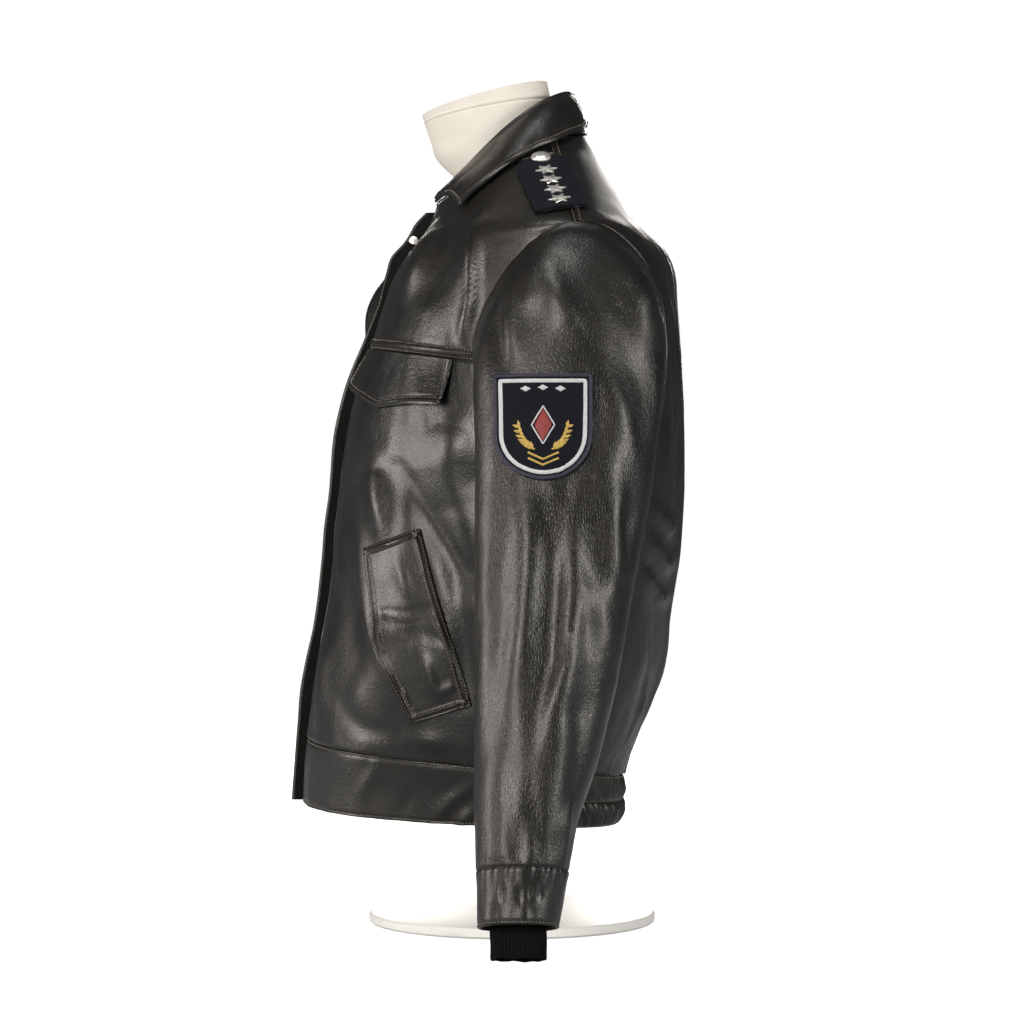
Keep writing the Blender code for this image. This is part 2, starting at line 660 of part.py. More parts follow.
BAND_PROFILE = ((0.0, 0.30), (0.25, 1.0), (0.5, 0.25), (0.75, 1.0), (1.0, 0.20))


def build_back_waistband():
    """Two elastic rows: each is a puffed band, with pleats raised in its outer points only."""
    count = PLEATS * 2 + 1
    pleat = np.arange(count) % 2
    outer, inner = [], []
    for share, puff in BAND_PROFILE:
        middle = HEM_BACK + (BAND_BACK - SEAM_GAP - HEM_BACK) * share
        edge = HEM_SIDE + (BAND_SIDE - SEAM_GAP - HEM_SIDE) * share
        angles, heights = back_row(middle, 0.0, edge, count)
        base = bare_torso(angles, heights)
        out = grid_normal(bare_torso, angles, heights)
        out[:, 2] = 0
        ends = np.clip(np.minimum(np.arange(count), np.arange(count)[::-1]) / 4, 0, 1)
        lift = PLEAT_HEIGHT * (puff * pleat + 0.45 * puff - 0.5) * ends
        outer.append(base + out * lift[:, None])
        inner.append(base - out * (LEATHER + PLEAT_HEIGHT * 0.5 * ends)[:, None])
    outer = trimmed(np.array(outer), SEAM_TRIM, SEAM_TRIM)
    inner = trimmed(np.array(inner), SEAM_TRIM, SEAM_TRIM)
    wall("waistband_back", outer, inner, LEATHER_BLACK)


# The collar from its front end to the middle of the back: roll line, edge of the fall, how far that
# edge stands off the shoulder, and how far it is raised
COLLAR_COLUMNS = ("share", "roll_x", "roll_y", "roll_z", "edge_x", "edge_y", "lift", "rise")
COLLAR = (
    (0.00, 0.0380, -0.0735, 0.7080, 0.1280, -0.0460, 0.0070, 0.0000),
    (0.18, 0.0560, -0.0480, 0.7300, 0.1250, -0.0210, 0.0065, 0.0000),
    (0.38, 0.0670, -0.0110, 0.7660, 0.1140, 0.0040, 0.0060, 0.0000),
    (0.55, 0.0640, 0.0150, 0.7870, 0.1000, 0.0230, 0.0055, 0.0010),
    (0.70, 0.0530, 0.0360, 0.8000, 0.0850, 0.0440, 0.0040, 0.0040),
    (0.85, 0.0300, 0.0520, 0.8085, 0.0510, 0.0660, 0.0030, 0.0080),
    (1.00, 0.0000, 0.0585, 0.8115, 0.0000, 0.0730, 0.0025, 0.0095),
)
COLLAR_ROLL = 0.0036
COLLAR_CROWN = 0.0065


# Points of the neck seam that carry a station of the collar
COLLAR_PLACES = [0, 1, 3, 5, 7, 9, 11, 13, 15, 17, 19, 21, 23]


def neck_line():
    """The neck seam at the panels' own points, from the left front edge to the middle of the back."""
    front = front_row(NECK_FRONT, 0.0, NECK_SIDE)
    back = back_row(NECK_BACK, 0.0, NECK_SIDE)
    half = BACK_COLUMNS // 2 + 1
    angles = np.concatenate([front[0], back[0][1:half]])
    heights = np.concatenate([front[1], back[1][1:half]])
    return torso(angles[COLLAR_PLACES], heights[COLLAR_PLACES])


def facet_tree(*names):
    """A search tree over the outer facets of these panels, for landing pieces on them."""
    points, faces = [], []
    for name in names:
        grid = FACETS[name]
        rows, columns = grid.shape[:2]
        for face in quads_of_grid(rows, columns, len(points), False, False):
            faces += [face[:3], [face[0], face[2], face[3]]]
        points += [Vector(point) for point in grid.reshape(-1, 3)]
    return BVHTree.FromPolygons(points, faces)


def landed(tree, start, direction):
    place, normal, _, _ = tree.ray_cast(Vector(start), Vector(direction))
    if place is None:
        raise ValueError(f"nothing under {tuple(start)}")
    normal = np.array(normal)
    normal = normal if normal @ np.array(direction) < 0 else -normal
    return np.array(place), normal


def laid_grid(tree, starts, direction, lift):
    """Points of a grid landed on a surface and moved out, with the surface's directions there."""
    points = np.empty(starts.shape)
    normals = np.empty(starts.shape)
    for row in range(starts.shape[0]):
        for place in range(starts.shape[1]):
            points[row, place], normals[row, place] = landed(tree, starts[row, place], direction)
    lift = np.broadcast_to(lift, starts.shape[:2])
    return points + normals * lift[..., None], normals


def collar_grid(body):
    """Rows from the neck seam up the stand, over the roll and down the fall, for the left half."""
    base = neck_line()
    stations = len(base)
    walked = np.concatenate([[0], np.cumsum(np.linalg.norm(np.diff(base, axis=0), axis=1))])
    share = walked / walked[-1]
    value = {name: column(COLLAR, COLLAR_COLUMNS, name, share) for name in COLLAR_COLUMNS[1:]}
    roll = np.stack([value["roll_x"], value["roll_y"], value["roll_z"]], axis=-1)
    edge_start = np.stack([value["edge_x"], value["edge_y"], np.full(stations, 0.9)], axis=-1)
    edge, edge_out = laid_grid(body, edge_start[None], (0, 0, -1), 0.0)
    edge, edge_out = edge[0], edge_out[0]
    edge = edge + edge_out * value["lift"][:, None] + np.array([0, 0, 1]) * value["rise"][:, None]
    away = unit((edge - roll) * np.array([1, 1, 0]))
    base = base + np.array([0, 0, 2 * SEAM_GAP])
    rows = [base, base * 0.5 + roll * 0.5 - away * 0.001]
    for turn in np.radians([180, 120, 60, 0]):
        rise = np.array([0, 0, COLLAR_ROLL * (math.sin(turn) - 1)])
        rows.append(roll + away * COLLAR_ROLL * math.cos(turn) + rise)
    start = rows[-1]
    for part in (0.33, 0.67, 1.0):
        crown = COLLAR_CROWN * math.sin(math.pi * part)
        rows.append(start * (1 - part) + edge * part + crown * np.array([0, 0, 1]))
    return np.array(rows)


def build_collar(body):
    half = collar_grid(body)
    other = half[:, ::-1][:, 1:] * np.array([-1, 1, 1])
    points = np.concatenate([half, other], axis=1)
    across = np.gradient(points, axis=1)
    along = np.gradient(points, axis=0)
    normals = unit(np.cross(across, along))
    wall("collar", points, points + normals * LEATHER, LEATHER_BLACK)
    return points


FLAP_TOP_X = (0.062, 0.200)
# Lower edge of the flap: share of its width, drop below the chest seam, lift off the panel
FLAP_EDGE = (
    (0.00, 0.0380, 0.0060),
    (0.20, 0.0440, 0.0030),
    (0.52, 0.0520, 0.0010),
    (0.80, 0.0450, 0.0040),
    (1.00, 0.0410, 0.0100),
)
FLAP_OVERHANG = 0.010
FLAP_BELOW_SEAM = 0.0012


def chest_seam(x):
    """Height of the chest seam this far from the middle."""
    angles, heights = yoke_rows()[0]
    return float(np.interp(x, bare_torso(angles, heights)[:, 0], heights))


def front_place(tree, theta, height, side):
    """Point on the front panel's facets, and the outward direction there."""
    point, normal = torso(theta, height, side), torso_normal(theta, height, side)
    return landed(tree, point + normal * 0.03, -normal)[0], normal


def build_flaps():
    shares = np.linspace(0, 1, 11)
    places = [row[0] for row in FLAP_EDGE]
    drops = np.interp(shares, places, [row[1] for row in FLAP_EDGE])
    lifts = flowing(shares, places, [row[2] for row in FLAP_EDGE])
    for word, side in SIDES.items():
        tree = facet_tree(f"front_{word}")
        outer, inner = [], []
        for down in (0.0, 0.33, 0.67, 1.0):
            row_out, row_in = [], []
            for share, drop, lift in zip(shares, drops, lifts):
                x = FLAP_TOP_X[0] + (FLAP_TOP_X[1] - FLAP_TOP_X[0]) * share
                x -= FLAP_OVERHANG * down * (1 - share) * (share < 0.3)
                height = chest_seam(x) - FLAP_BELOW_SEAM - drop * down
                point, normal = front_place(tree, angle_at_x(x, height), height, side)
                off = FLAP_LIFT + lift * down**1.5
                row_in.append(point + normal * off)
                row_out.append(point + normal * (off + FLAP_THICK))
            outer.append(row_out)
            inner.append(row_in)
        wall(f"flap_{word}", np.array(outer), np.array(inner), LEATHER_BLACK)


# Corners of the hand pocket seen from the side (y, z), down its front edge and down its back edge
POCKET_FRONT_EDGE = ((-0.1355, 0.3664), (-0.1290, 0.3130), (-0.1240, 0.2820), (-0.1080, 0.2440), (-0.0911, 0.2060))
POCKET_BACK_EDGE = ((-0.0854, 0.3853), (-0.0740, 0.3440), (-0.0620, 0.3040), (-0.0500, 0.2640), (-0.0374, 0.2230))


def build_hand_pockets():
    share = np.linspace(0, 1, 13)
    places = np.linspace(0, 1, len(POCKET_FRONT_EDGE))
    for word, side in SIDES.items():
        front = np.stack([np.interp(share, places, [p[i] for p in POCKET_FRONT_EDGE]) for i in (0, 1)], -1)
        back = np.stack([np.interp(share, places, [p[i] for p in POCKET_BACK_EDGE]) for i in (0, 1)], -1)
        across = np.linspace(0, 1, 6)[None, :, None]
        grid = front[:, None] * (1 - across) + back[:, None] * across
        tree = facet_tree(f"front_{word}")
        theta = angle_at_y(grid[..., 0], grid[..., 1])
        inner, normals = np.empty(theta.shape + (3,)), np.empty(theta.shape + (3,))
        for place in np.ndindex(theta.shape):
            point, normal = front_place(tree, theta[place], grid[place][1], side)
            inner[place], normals[place] = point + normal * POCKET_LIFT, normal
        wall(f"hand_pocket_{word}", inner + normals * LEATHER, inner, LEATHER_BLACK)


EDGE_ROWS = 22
SNAP_HEIGHT = 0.663
SNAP_RADIUS = 0.0045
EDGE_BEHIND = 0.005
EDGE_THICK = 0.0018
TAPE_THICK = 0.0010
TAPE_SHORT = 0.0018


def edge_line(count=EDGE_ROWS):
    """The right front's edge: its points, and how far the stitched edge stands ahead of it."""
    low = np.linspace(HEM_FRONT, BAND_FRONT, 4)
    heights = np.concatenate([low, np.linspace(BAND_FRONT, NECK_FRONT - 0.004, count - 3)[1:]])
    gap = column(EDGES, EDGE_COLUMNS, "half_gap", heights)
    points = torso(angle_at_x(gap, heights), heights, RIGHT)
    return points, column(EDGES, EDGE_COLUMNS, "ahead", heights)


def build_front_edge():
    """The stitched edge binds the right front's edge and stands ahead of it, with the tape inside."""
    points, ahead = edge_line()
    forward = np.array([0, -1, 0])
    inward = np.array([1, 0, 0])
    near = points - forward * EDGE_BEHIND + inward * SEAM_GAP
    far = points + forward * ahead[:, None] + inward * SEAM_GAP
    outer = np.stack([near, far], axis=1)
    wall("edge_facing", outer, outer + inward * EDGE_THICK, LEATHER_BLACK)
    on_edge = inward * (EDGE_THICK + TOUCH)
    near = points - forward * EDGE_BEHIND + inward * SEAM_GAP + on_edge
    far = points + forward * (ahead[:, None] - TAPE_SHORT) + inward * SEAM_GAP + on_edge
    outer = np.stack([near, far], axis=1)
    wall("fly_tape", outer, outer + inward * TAPE_THICK, TAPE_BLACK)
    return points, ahead


def turned_disc(name, radius, thick, dome, centre, axis, material, steps):
    """A disc with a domed face, turned round its axis."""
    profile = [(0.0, dome + thick), (radius * 0.55, dome * 0.75 + thick), (radius * 0.9, thick + dome * 0.2)]
    profile += [(radius, thick * 0.6), (radius, 0.0), (0.0, 0.0)]
    mesh = bpy.data.meshes.new(name)
    edges = [(i, i + 1) for i in range(len(profile) - 1)]
    mesh.from_pydata([(r, 0, z) for r, z in profile], edges, [])
    thing = bpy.data.objects.new(name, mesh)
    screw = thing.modifiers.new("turned", "SCREW")
    screw.steps = steps
    screw.render_steps = steps
    screw.use_merge_vertices = True
    screw.merge_threshold = 0.00002
    thing.location = tuple(centre)
    thing.rotation_mode = "QUATERNION"
    thing.rotation_quaternion = Vector(tuple(axis)).to_track_quat("Z", "Y")
    mesh.shade_smooth()
    return finished(thing, material)


def build_snap(points, ahead):
    """The small snap near the top of the right front's edge, facing the wearer's left."""
    at = int(np.argmin(np.abs(points[:, 2] - SNAP_HEIGHT)))
    rise = points[at + 1] - points[at - 1]
    facing = unit(np.array([rise[2], 0, -rise[0]]))
    tape_face = SEAM_GAP + EDGE_THICK + TOUCH + TAPE_THICK
    centre = points[at] + np.array([tape_face, -ahead[at] * 0.55, 0]) + facing * 2 * TOUCH
    turned_disc("snap", SNAP_RADIUS, 0.0009, 0.0008, centre, facing, SILVER, 14)


# Shoulder strap along the ridge of the shoulder, in plan: inner end, outer end and half width
STRAP_INNER = (0.1080, 0.0250)
STRAP_OUTER = (0.2240, 0.0480)
STRAP_HALF_WIDTH = 0.0215
STRAP_END = 0.91
SLIDE_START = 0.100
SLIDE_END = 0.92
SLIDE_HALF_WIDTH = 0.0240
BUTTON_PLACE = 0.110
FIRST_STAR = 0.324
STAR_STEP = 0.165


def strap_grid(start, end, half_width, along, across):
    first, last = np.array(STRAP_INNER), np.array(STRAP_OUTER)
    run = last - first
    sideways = np.array([-run[1], run[0]]) / np.hypot(*run)
    share = np.linspace(start, end, along)[:, None, None]
    reach = np.linspace(-half_width, half_width, across)[None, :, None]
    plan = first + run * share + sideways * reach
    return np.concatenate([plan, np.full(plan.shape[:2] + (1,), 0.9)], axis=-1)


def build_straps(body):
    for word, side in SIDES.items():
        flip = np.array([side, 1, 1])
        mirror = side == RIGHT
        starts = strap_grid(0.0, STRAP_END, STRAP_HALF_WIDTH, 12, 5)
        low, out = laid_grid(body, starts, (0, 0, -1), STRAP_LIFT)
        wall(f"epaulette_{word}", low + out * STRAP_THICK, low, LEATHER_BLACK, mirror=mirror)
        starts = strap_grid(SLIDE_START, SLIDE_END, SLIDE_HALF_WIDTH, 10, 5)
        slide_lift = STRAP_LIFT + STRAP_THICK + 2 * TOUCH
        low, out = laid_grid(body, starts, (0, 0, -1), slide_lift)
        wall(f"rank_slide_{word}", low + out * SLIDE_THICK, low, SLIDE_NAVY, mirror=mirror)
        on_slide = slide_lift + SLIDE_THICK + 2 * TOUCH
        middle = strap_grid(BUTTON_PLACE, BUTTON_PLACE, 0.0, 1, 1)
        place, out = laid_grid(body, middle, (0, 0, -1), on_slide)
        turned_disc(
            f"strap_button_{word}", BUTTON_RADIUS, 0.0022, 0.0022, place[0, 0] * flip, out[0, 0] * flip, SILVER, 14
        )
        for number in range(STAR_COUNT):
            share = FIRST_STAR + STAR_STEP * number
            middle = strap_grid(share, share, 0.0, 1, 1)
            place, out = laid_grid(body, middle, (0, 0, -1), on_slide)
            build_star(f"star_{word}_{number + 1}", place[0, 0] * flip, out[0, 0] * flip, side)


def build_star(name, centre, out, side):
    """A flat six-pointed star with a raised middle, standing on the rank slide."""
    mesh = bpy.data.meshes.new(name)
    made = bmesh.new()
    low, high = [], []
    for step in range(2 * STAR_POINTS):
        radius = STAR_RADIUS if step % 2 == 0 else STAR_RADIUS * STAR_NOTCH
        turn = math.pi * step / STAR_POINTS
        x, y = radius * math.cos(turn), radius * math.sin(turn)
        low.append(made.verts.new((x, y, 0)))
        high.append(made.verts.new((x, y, STAR_THICK)))
    top = made.verts.new((0, 0, STAR_THICK + STAR_CROWN))
    count = len(low)
    for step in range(count):
        after = (step + 1) % count
        made.faces.new((low[step], low[after], high[after], high[step]))
        made.faces.new((high[step], high[after], top))
    made.faces.new(low[::-1])
    bmesh.ops.recalc_face_normals(made, faces=made.faces)
    made.to_mesh(mesh)
    made.free()
    thing = bpy.data.objects.new(name, mesh)
    thing.location = tuple(centre)
    ahead = Vector((STAR_TURN * side, -1, 0))
    turned = Vector(tuple(out)).to_track_quat("Z", "Y").to_matrix()
    facing = Vector(tuple(out)).normalized()
    first = (ahead - facing * ahead.dot(facing)).normalized()
    turned.col[0], turned.col[2] = first, facing
    turned.col[1] = facing.cross(first)
    thing.rotation_mode = "QUATERNION"
    thing.rotation_quaternion = turned.to_quaternion()
    finished(thing, SILVER)


# The sleeve patch seen from the side: half width, and its edges by height
PATCH_MIDDLE_Y = 0.0275
PATCH_HALF_WIDTH = 0.0425
PATCH_TOP = 0.5205
PATCH_LOW = 0.4280
PATCH_STRAIGHT = 0.60
PATCH_ROWS = np.array([0.0, 0.15, 0.30, 0.45, 0.60, 0.72, 0.82, 0.90, 0.96, 0.995])


def build_patch(arm):
    """A shield: straight sides, closed by half an ellipse below."""
    closing = np.clip((PATCH_ROWS - PATCH_STRAIGHT) / (1 - PATCH_STRAIGHT), 0, 1)
    width = (1 - 0.04 * PATCH_ROWS) * np.sqrt(1 - closing**2)
    across = np.linspace(-1, 1, 7)
    y = PATCH_MIDDLE_Y + PATCH_HALF_WIDTH * width[:, None] * across[None, :]
    z = PATCH_TOP + (PATCH_LOW - PATCH_TOP) * PATCH_ROWS[:, None] + 0 * y
    starts = np.stack([np.full(y.shape, 0.6), y, z], axis=-1)
    low, out = laid_grid(arm, starts, (-1, 0, 0), PATCH_LIFT)
    wall("sleeve_patch", low + out * PATCH_THICK, low, SLIDE_NAVY)


def trunk_ring(height, turns):
    half = column(FORM_TRUNK, FORM_COLUMNS, "half_width", height)
    front = column(FORM_TRUNK, FORM_COLUMNS, "front", height)
    back = column(FORM_TRUNK, FORM_COLUMNS, "back", height)
    y = (front + back) / 2 + (back - front) / 2 * power(np.sin(turns), 2 / 2.3)
    return np.stack([half * power(np.cos(turns), 2 / 2.3), y, np.full_like(turns, height)], axis=-1)


def shoulder_ring(height, turns):
    """Under the shoulders the form follows the jacket's own surface, less the wall and a small gap."""
    folded = np.where(np.abs(turns) > math.pi / 2, np.sign(turns) * math.pi - turns, turns)
    points = bare_torso(folded, np.full_like(turns, height))
    normals = grid_normal(bare_torso, folded, np.full_like(turns, height))
    deep = LEATHER + FORM_GAP + 0.010 * np.clip(np.abs(np.sin(folded)) - 0.25, 0, 1)
    points = points - normals * deep[:, None]
    points[:, 0] *= np.where(np.abs(turns) > math.pi / 2, -1, 1)
    return points


def neck_ring(height, turns):
    half = column(NECK, NECK_COLUMNS, "half_width", height)
    front = column(NECK, NECK_COLUMNS, "front", height)
    back = column(NECK, NECK_COLUMNS, "back", height)
    y = (front + back) / 2 + (back - front) / 2 * np.sin(turns)
    top = np.clip((height - 0.740) / (NECK[-1][0] - 0.740), 0, 1) ** 1.5
    z = height + NECK_TOP_RISE * (y - (front + back) / 2) * top
    return np.stack([half * np.cos(turns), y, z], axis=-1)


FORM_SHOULDER_HEIGHTS = (0.652, 0.6627, 0.68176, 0.70082, 0.71988)
SHOULDER_DRAW = 0.07


def build_form():
    turns = np.linspace(-math.pi, math.pi, 31)[:-1]
    rings = [trunk_ring(row[0], turns) for row in FORM_TRUNK]
    for height in FORM_SHOULDER_HEIGHTS:
        ring = shoulder_ring(height, turns)
        ring[:, 0] *= 1 - SHOULDER_DRAW * max(0.0, 0.675 - height) / 0.023
        rings.append(ring)
    rings += [neck_ring(row[0], turns) for row in NECK]
    grid = np.array(rings)
    rows, columns = grid.shape[:2]
    faces = quads_of_grid(rows, columns, 0, True, False)
    faces.append(list(range(columns))[::-1])
    faces.append([(rows - 1) * columns + place for place in range(columns)])
    mesh_object("dress_form", grid.reshape(-1, 3), faces, FORM_CREAM)


def build_stand():
    height = FORM_BOTTOM - TOUCH - BASE_THICK - TOUCH
    bpy.ops.mesh.primitive_cylinder_add(vertices=24, radius=POLE_RADIUS, depth=height)
    pole = bpy.context.object
    pole.name = "pole"
    pole.location = (0, 0, BASE_THICK + TOUCH + height / 2)
    finished(pole, PALE_STEEL)
    bpy.ops.mesh.primitive_cylinder_add(vertices=40, radius=BASE_RADIUS, depth=BASE_THICK)
    base = bpy.context.object
    base.name = "base"
    base.location = (0, 0, BASE_THICK / 2)
    edge = base.modifiers.new("rounded edge", "BEVEL")
    edge.width = 0.002
    edge.segments = 1
    edge.limit_method = "ANGLE"
    finished(base, PALE_STEEL)


clear_scene()
JACKET = bpy.data.collections.new("police uniform jacket")
bpy.context.scene.collection.children.link(JACKET)
FACETS = {}
build_fronts()
build_back()
build_sleeves()
BODY_SKIN = facet_tree("yoke_left", "back")
ARM_SKIN = facet_tree("upper_sleeve")
build_cuffs()
build_knit_cuffs()
build_front_waistbands()
build_back_waistband()
build_collar(BODY_SKIN)
build_flaps()
build_hand_pockets()
EDGE_POINTS, EDGE_AHEAD = build_front_edge()
build_snap(EDGE_POINTS, EDGE_AHEAD)
build_straps(BODY_SKIN)
build_patch(ARM_SKIN)
build_form()
build_stand()
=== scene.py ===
"""Police uniform jacket of black leather on a limbless dress form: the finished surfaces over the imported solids.

Metres, +Z up. The front faces -Y and the wearer's left is +X. The surfaces repeat the solids' own tables,
with finer folds, edges and stitching.
"""

import math

import bmesh
import bpy
import numpy as np
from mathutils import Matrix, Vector
from mathutils.bvhtree import BVHTree


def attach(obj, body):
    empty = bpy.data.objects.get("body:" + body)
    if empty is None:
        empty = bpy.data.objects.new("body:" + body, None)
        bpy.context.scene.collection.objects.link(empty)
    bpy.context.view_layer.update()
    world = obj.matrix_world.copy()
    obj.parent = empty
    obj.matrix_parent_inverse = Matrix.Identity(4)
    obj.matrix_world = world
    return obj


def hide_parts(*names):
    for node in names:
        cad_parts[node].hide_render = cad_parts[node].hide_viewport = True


bl_info = {
    "name": "Uniform Jacket",
    "version": (1, 0, 0),
    "blender": (4, 5, 0),
    "location": "View3D > Sidebar > Jacket",
    "description": "Finishes a leather uniform jacket on its dress form",
    "category": "Object",
}

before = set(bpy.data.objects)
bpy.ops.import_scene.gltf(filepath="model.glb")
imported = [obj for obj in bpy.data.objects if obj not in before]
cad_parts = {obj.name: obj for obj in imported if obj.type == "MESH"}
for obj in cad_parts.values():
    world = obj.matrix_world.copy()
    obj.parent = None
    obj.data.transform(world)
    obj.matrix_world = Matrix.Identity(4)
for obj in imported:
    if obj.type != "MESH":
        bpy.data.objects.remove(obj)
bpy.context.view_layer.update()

# Sizes shared with the solids

# Driving sizes of the jacket
LEATHER = 0.0020
SEAM_TRIM = 0.00016
SEAM_GAP = 0.0004
HEM_SIDE = 0.110
HEM_FRONT = 0.118
HEM_BACK = 0.100
BAND_FRONT = 0.182
BAND_SIDE = 0.162
BAND_BACK = 0.146
CHEST_SEAM_FRONT = 0.5585
CHEST_SEAM_SIDE = 0.537
UNDERARM = 0.432
SHOULDER_POINT = 0.6627
NECK_FRONT = 0.700
NECK_SIDE = 0.758
NECK_BACK = 0.769

# Horizontal sections of the jacket: half width, front and back line, line of the side and shoulder seams,
# and how square the front and back halves are (2 is an ellipse)
SECTION_COLUMNS = ("height", "half_width", "front", "back", "side", "front_shape", "back_shape")
SECTIONS = (
    (0.095, 0.186, -0.2045, 0.1035, 0.000, 2.3, 2.4),
    (0.118, 0.190, -0.2040, 0.1085, 0.002, 2.3, 2.4),
    (0.142, 0.193, -0.2030, 0.1080, 0.005, 2.3, 2.4),
    (0.162, 0.198, -0.2020, 0.1140, 0.008, 2.3, 2.4),
    (0.182, 0.204, -0.2000, 0.1215, 0.012, 2.3, 2.5),
    (0.207, 0.210, -0.1970, 0.1310, 0.018, 2.3, 2.5),
    (0.258, 0.219, -0.1900, 0.1455, 0.028, 2.3, 2.6),
    (0.317, 0.225, -0.1793, 0.1530, 0.038, 2.2, 2.7),
    (0.390, 0.228, -0.1720, 0.1617, 0.048, 2.2, 2.8),
    (0.461, 0.229, -0.1637, 0.1648, 0.055, 2.2, 2.9),
    (0.515, 0.229, -0.1529, 0.1652, 0.055, 2.2, 2.9),
    (0.570, 0.231, -0.1352, 0.1630, 0.055, 2.2, 2.8),
    (0.603, 0.233, -0.1254, 0.1610, 0.055, 2.15, 2.7),
    (0.630, 0.235, -0.1140, 0.1580, 0.055, 2.1, 2.6),
    (0.648, 0.236, -0.1020, 0.1500, 0.055, 2.05, 2.4),
    (0.6627, 0.235, -0.0880, 0.1370, 0.055, 2.0, 2.2),
    (0.675, 0.2140, -0.0813, 0.1270, 0.053, 1.95, 2.1),
    (0.702, 0.1670, -0.0745, 0.1095, 0.048, 1.9, 2.0),
    (0.735, 0.1100, -0.0660, 0.0902, 0.040, 1.9, 2.0),
    (0.750, 0.0840, -0.0600, 0.0820, 0.036, 1.9, 2.0),
    (0.760, 0.0740, -0.0570, 0.0765, 0.034, 1.9, 2.0),
    (0.775, 0.0640, -0.0520, 0.0690, 0.031, 1.9, 2.0),
)

# The front edges: half the gap between them, and how far the right one stands ahead of the left
EDGE_COLUMNS = ("height", "half_gap", "ahead")
EDGES = (
    (0.095, 0.0040, 0.0125),
    (0.350, 0.0040, 0.0120),
    (0.520, 0.0040, 0.0120),
    (0.575, 0.0045, 0.0090),
    (0.603, 0.0070, 0.0065),
    (0.633, 0.0130, 0.0110),
    (0.658, 0.0200, 0.0200),
    (0.680, 0.0260, 0.0200),
    (0.702, 0.0300, 0.0070),
)

# Armhole seen from the side: its middle, half height, reach and squareness
ARMHOLE_MIDDLE = (0.055, (SHOULDER_POINT + UNDERARM) / 2)
ARMHOLE_HALF_HEIGHT = (SHOULDER_POINT - UNDERARM) / 2
ARMHOLE_REACH_FRONT = 0.090
ARMHOLE_REACH_BACK = 0.086
ARMHOLE_SHAPE_TOP_FRONT = 1.55
ARMHOLE_SHAPE_TOP_BACK = 2.1
ARMHOLE_SHAPE_LOW = 2.0

# Sleeve rings from the armhole to the cuff: outer and inner profile, front and back edge, squareness
SLEEVE_COLUMNS = ("ring", "outer_x", "outer_z", "inner_x", "inner_z", "front_y", "back_y", "shape")
SLEEVE = (
    (0, 0.2350, 0.6627, 0.2220, 0.4320, -0.0360, 0.1405, 2.0),
    (1, 0.2620, 0.6460, 0.2350, 0.4180, -0.0365, 0.1400, 2.0),
    (2, 0.2880, 0.6120, 0.2430, 0.4020, -0.0350, 0.1350, 2.1),
    (3, 0.3060, 0.5650, 0.2470, 0.3840, -0.0335, 0.1305, 2.1),
    (4, 0.3210, 0.5050, 0.2520, 0.3600, -0.0330, 0.1260, 2.1),
    (5, 0.3350, 0.4400, 0.2570, 0.3350, -0.0330, 0.1185, 2.1),
    (6, 0.3470, 0.3850, 0.2630, 0.3050, -0.0330, 0.1095, 2.1),
    (7, 0.3590, 0.3250, 0.2710, 0.2700, -0.0330, 0.1012, 2.1),
    (8, 0.3710, 0.2650, 0.2820, 0.2250, -0.0335, 0.0910, 2.1),
    (9, 0.3840, 0.2050, 0.2950, 0.1720, -0.0336, 0.0765, 2.1),
    (10, 0.3980, 0.1450, 0.3130, 0.1220, -0.0330, 0.0590, 2.1),
    (11, 0.4085, 0.1000, 0.3310, 0.0820, -0.0317, 0.0495, 2.1),
)
LAST_RING = 11
CAP_RINGS = 3.0
CUFF_END = {"outer_x": 0.4166, "outer_z": 0.0520, "inner_x": 0.3455, "inner_z": 0.0355}
CUFF_END_FRONT = -0.0310
CUFF_END_BACK = 0.0405
KNIT_CENTRE_TOP = (0.3770, 0.0050, 0.0600)
KNIT_CENTRE_LOW = (0.3870, 0.0055, 0.0175)
KNIT_HALF_X = 0.0215
KNIT_HALF_Y = 0.0245
KNIT_WALL = 0.0024
SLEEVE_TILT = math.radians(13)

# Large folds. On the sides they run from one point (y, z) to another as seen from the side,
# on the back from (x, z) to (x, z). Columns: the two places, width, and height, positive for a ridge
FRONT_FOLDS = (
    (-0.066, 0.672, -0.106, 0.610, 0.013, 0.0032),
    (-0.050, 0.680, -0.075, 0.600, 0.016, -0.0030),
    (-0.040, 0.655, -0.046, 0.570, 0.012, 0.0028),
    (-0.060, 0.480, -0.030, 0.440, 0.022, 0.0040),
    (-0.078, 0.430, -0.036, 0.330, 0.018, -0.0048),
    (-0.128, 0.430, -0.105, 0.375, 0.016, 0.0034),
    (-0.150, 0.330, -0.160, 0.230, 0.018, -0.0030),
    (-0.090, 0.300, -0.150, 0.215, 0.020, 0.0030),
    (-0.040, 0.300, -0.060, 0.200, 0.018, -0.0040),
)
BACK_FOLDS = (
    (0.150, 0.560, 0.090, 0.380, 0.026, -0.0055),
    (-0.150, 0.550, -0.100, 0.370, 0.026, -0.0055),
    (0.060, 0.500, 0.070, 0.250, 0.028, 0.0040),
    (-0.055, 0.480, -0.070, 0.240, 0.028, 0.0040),
    (0.010, 0.420, -0.005, 0.230, 0.024, -0.0040),
    (0.160, 0.330, 0.110, 0.230, 0.020, -0.0055),
    (-0.155, 0.320, -0.115, 0.220, 0.020, -0.0055),
)
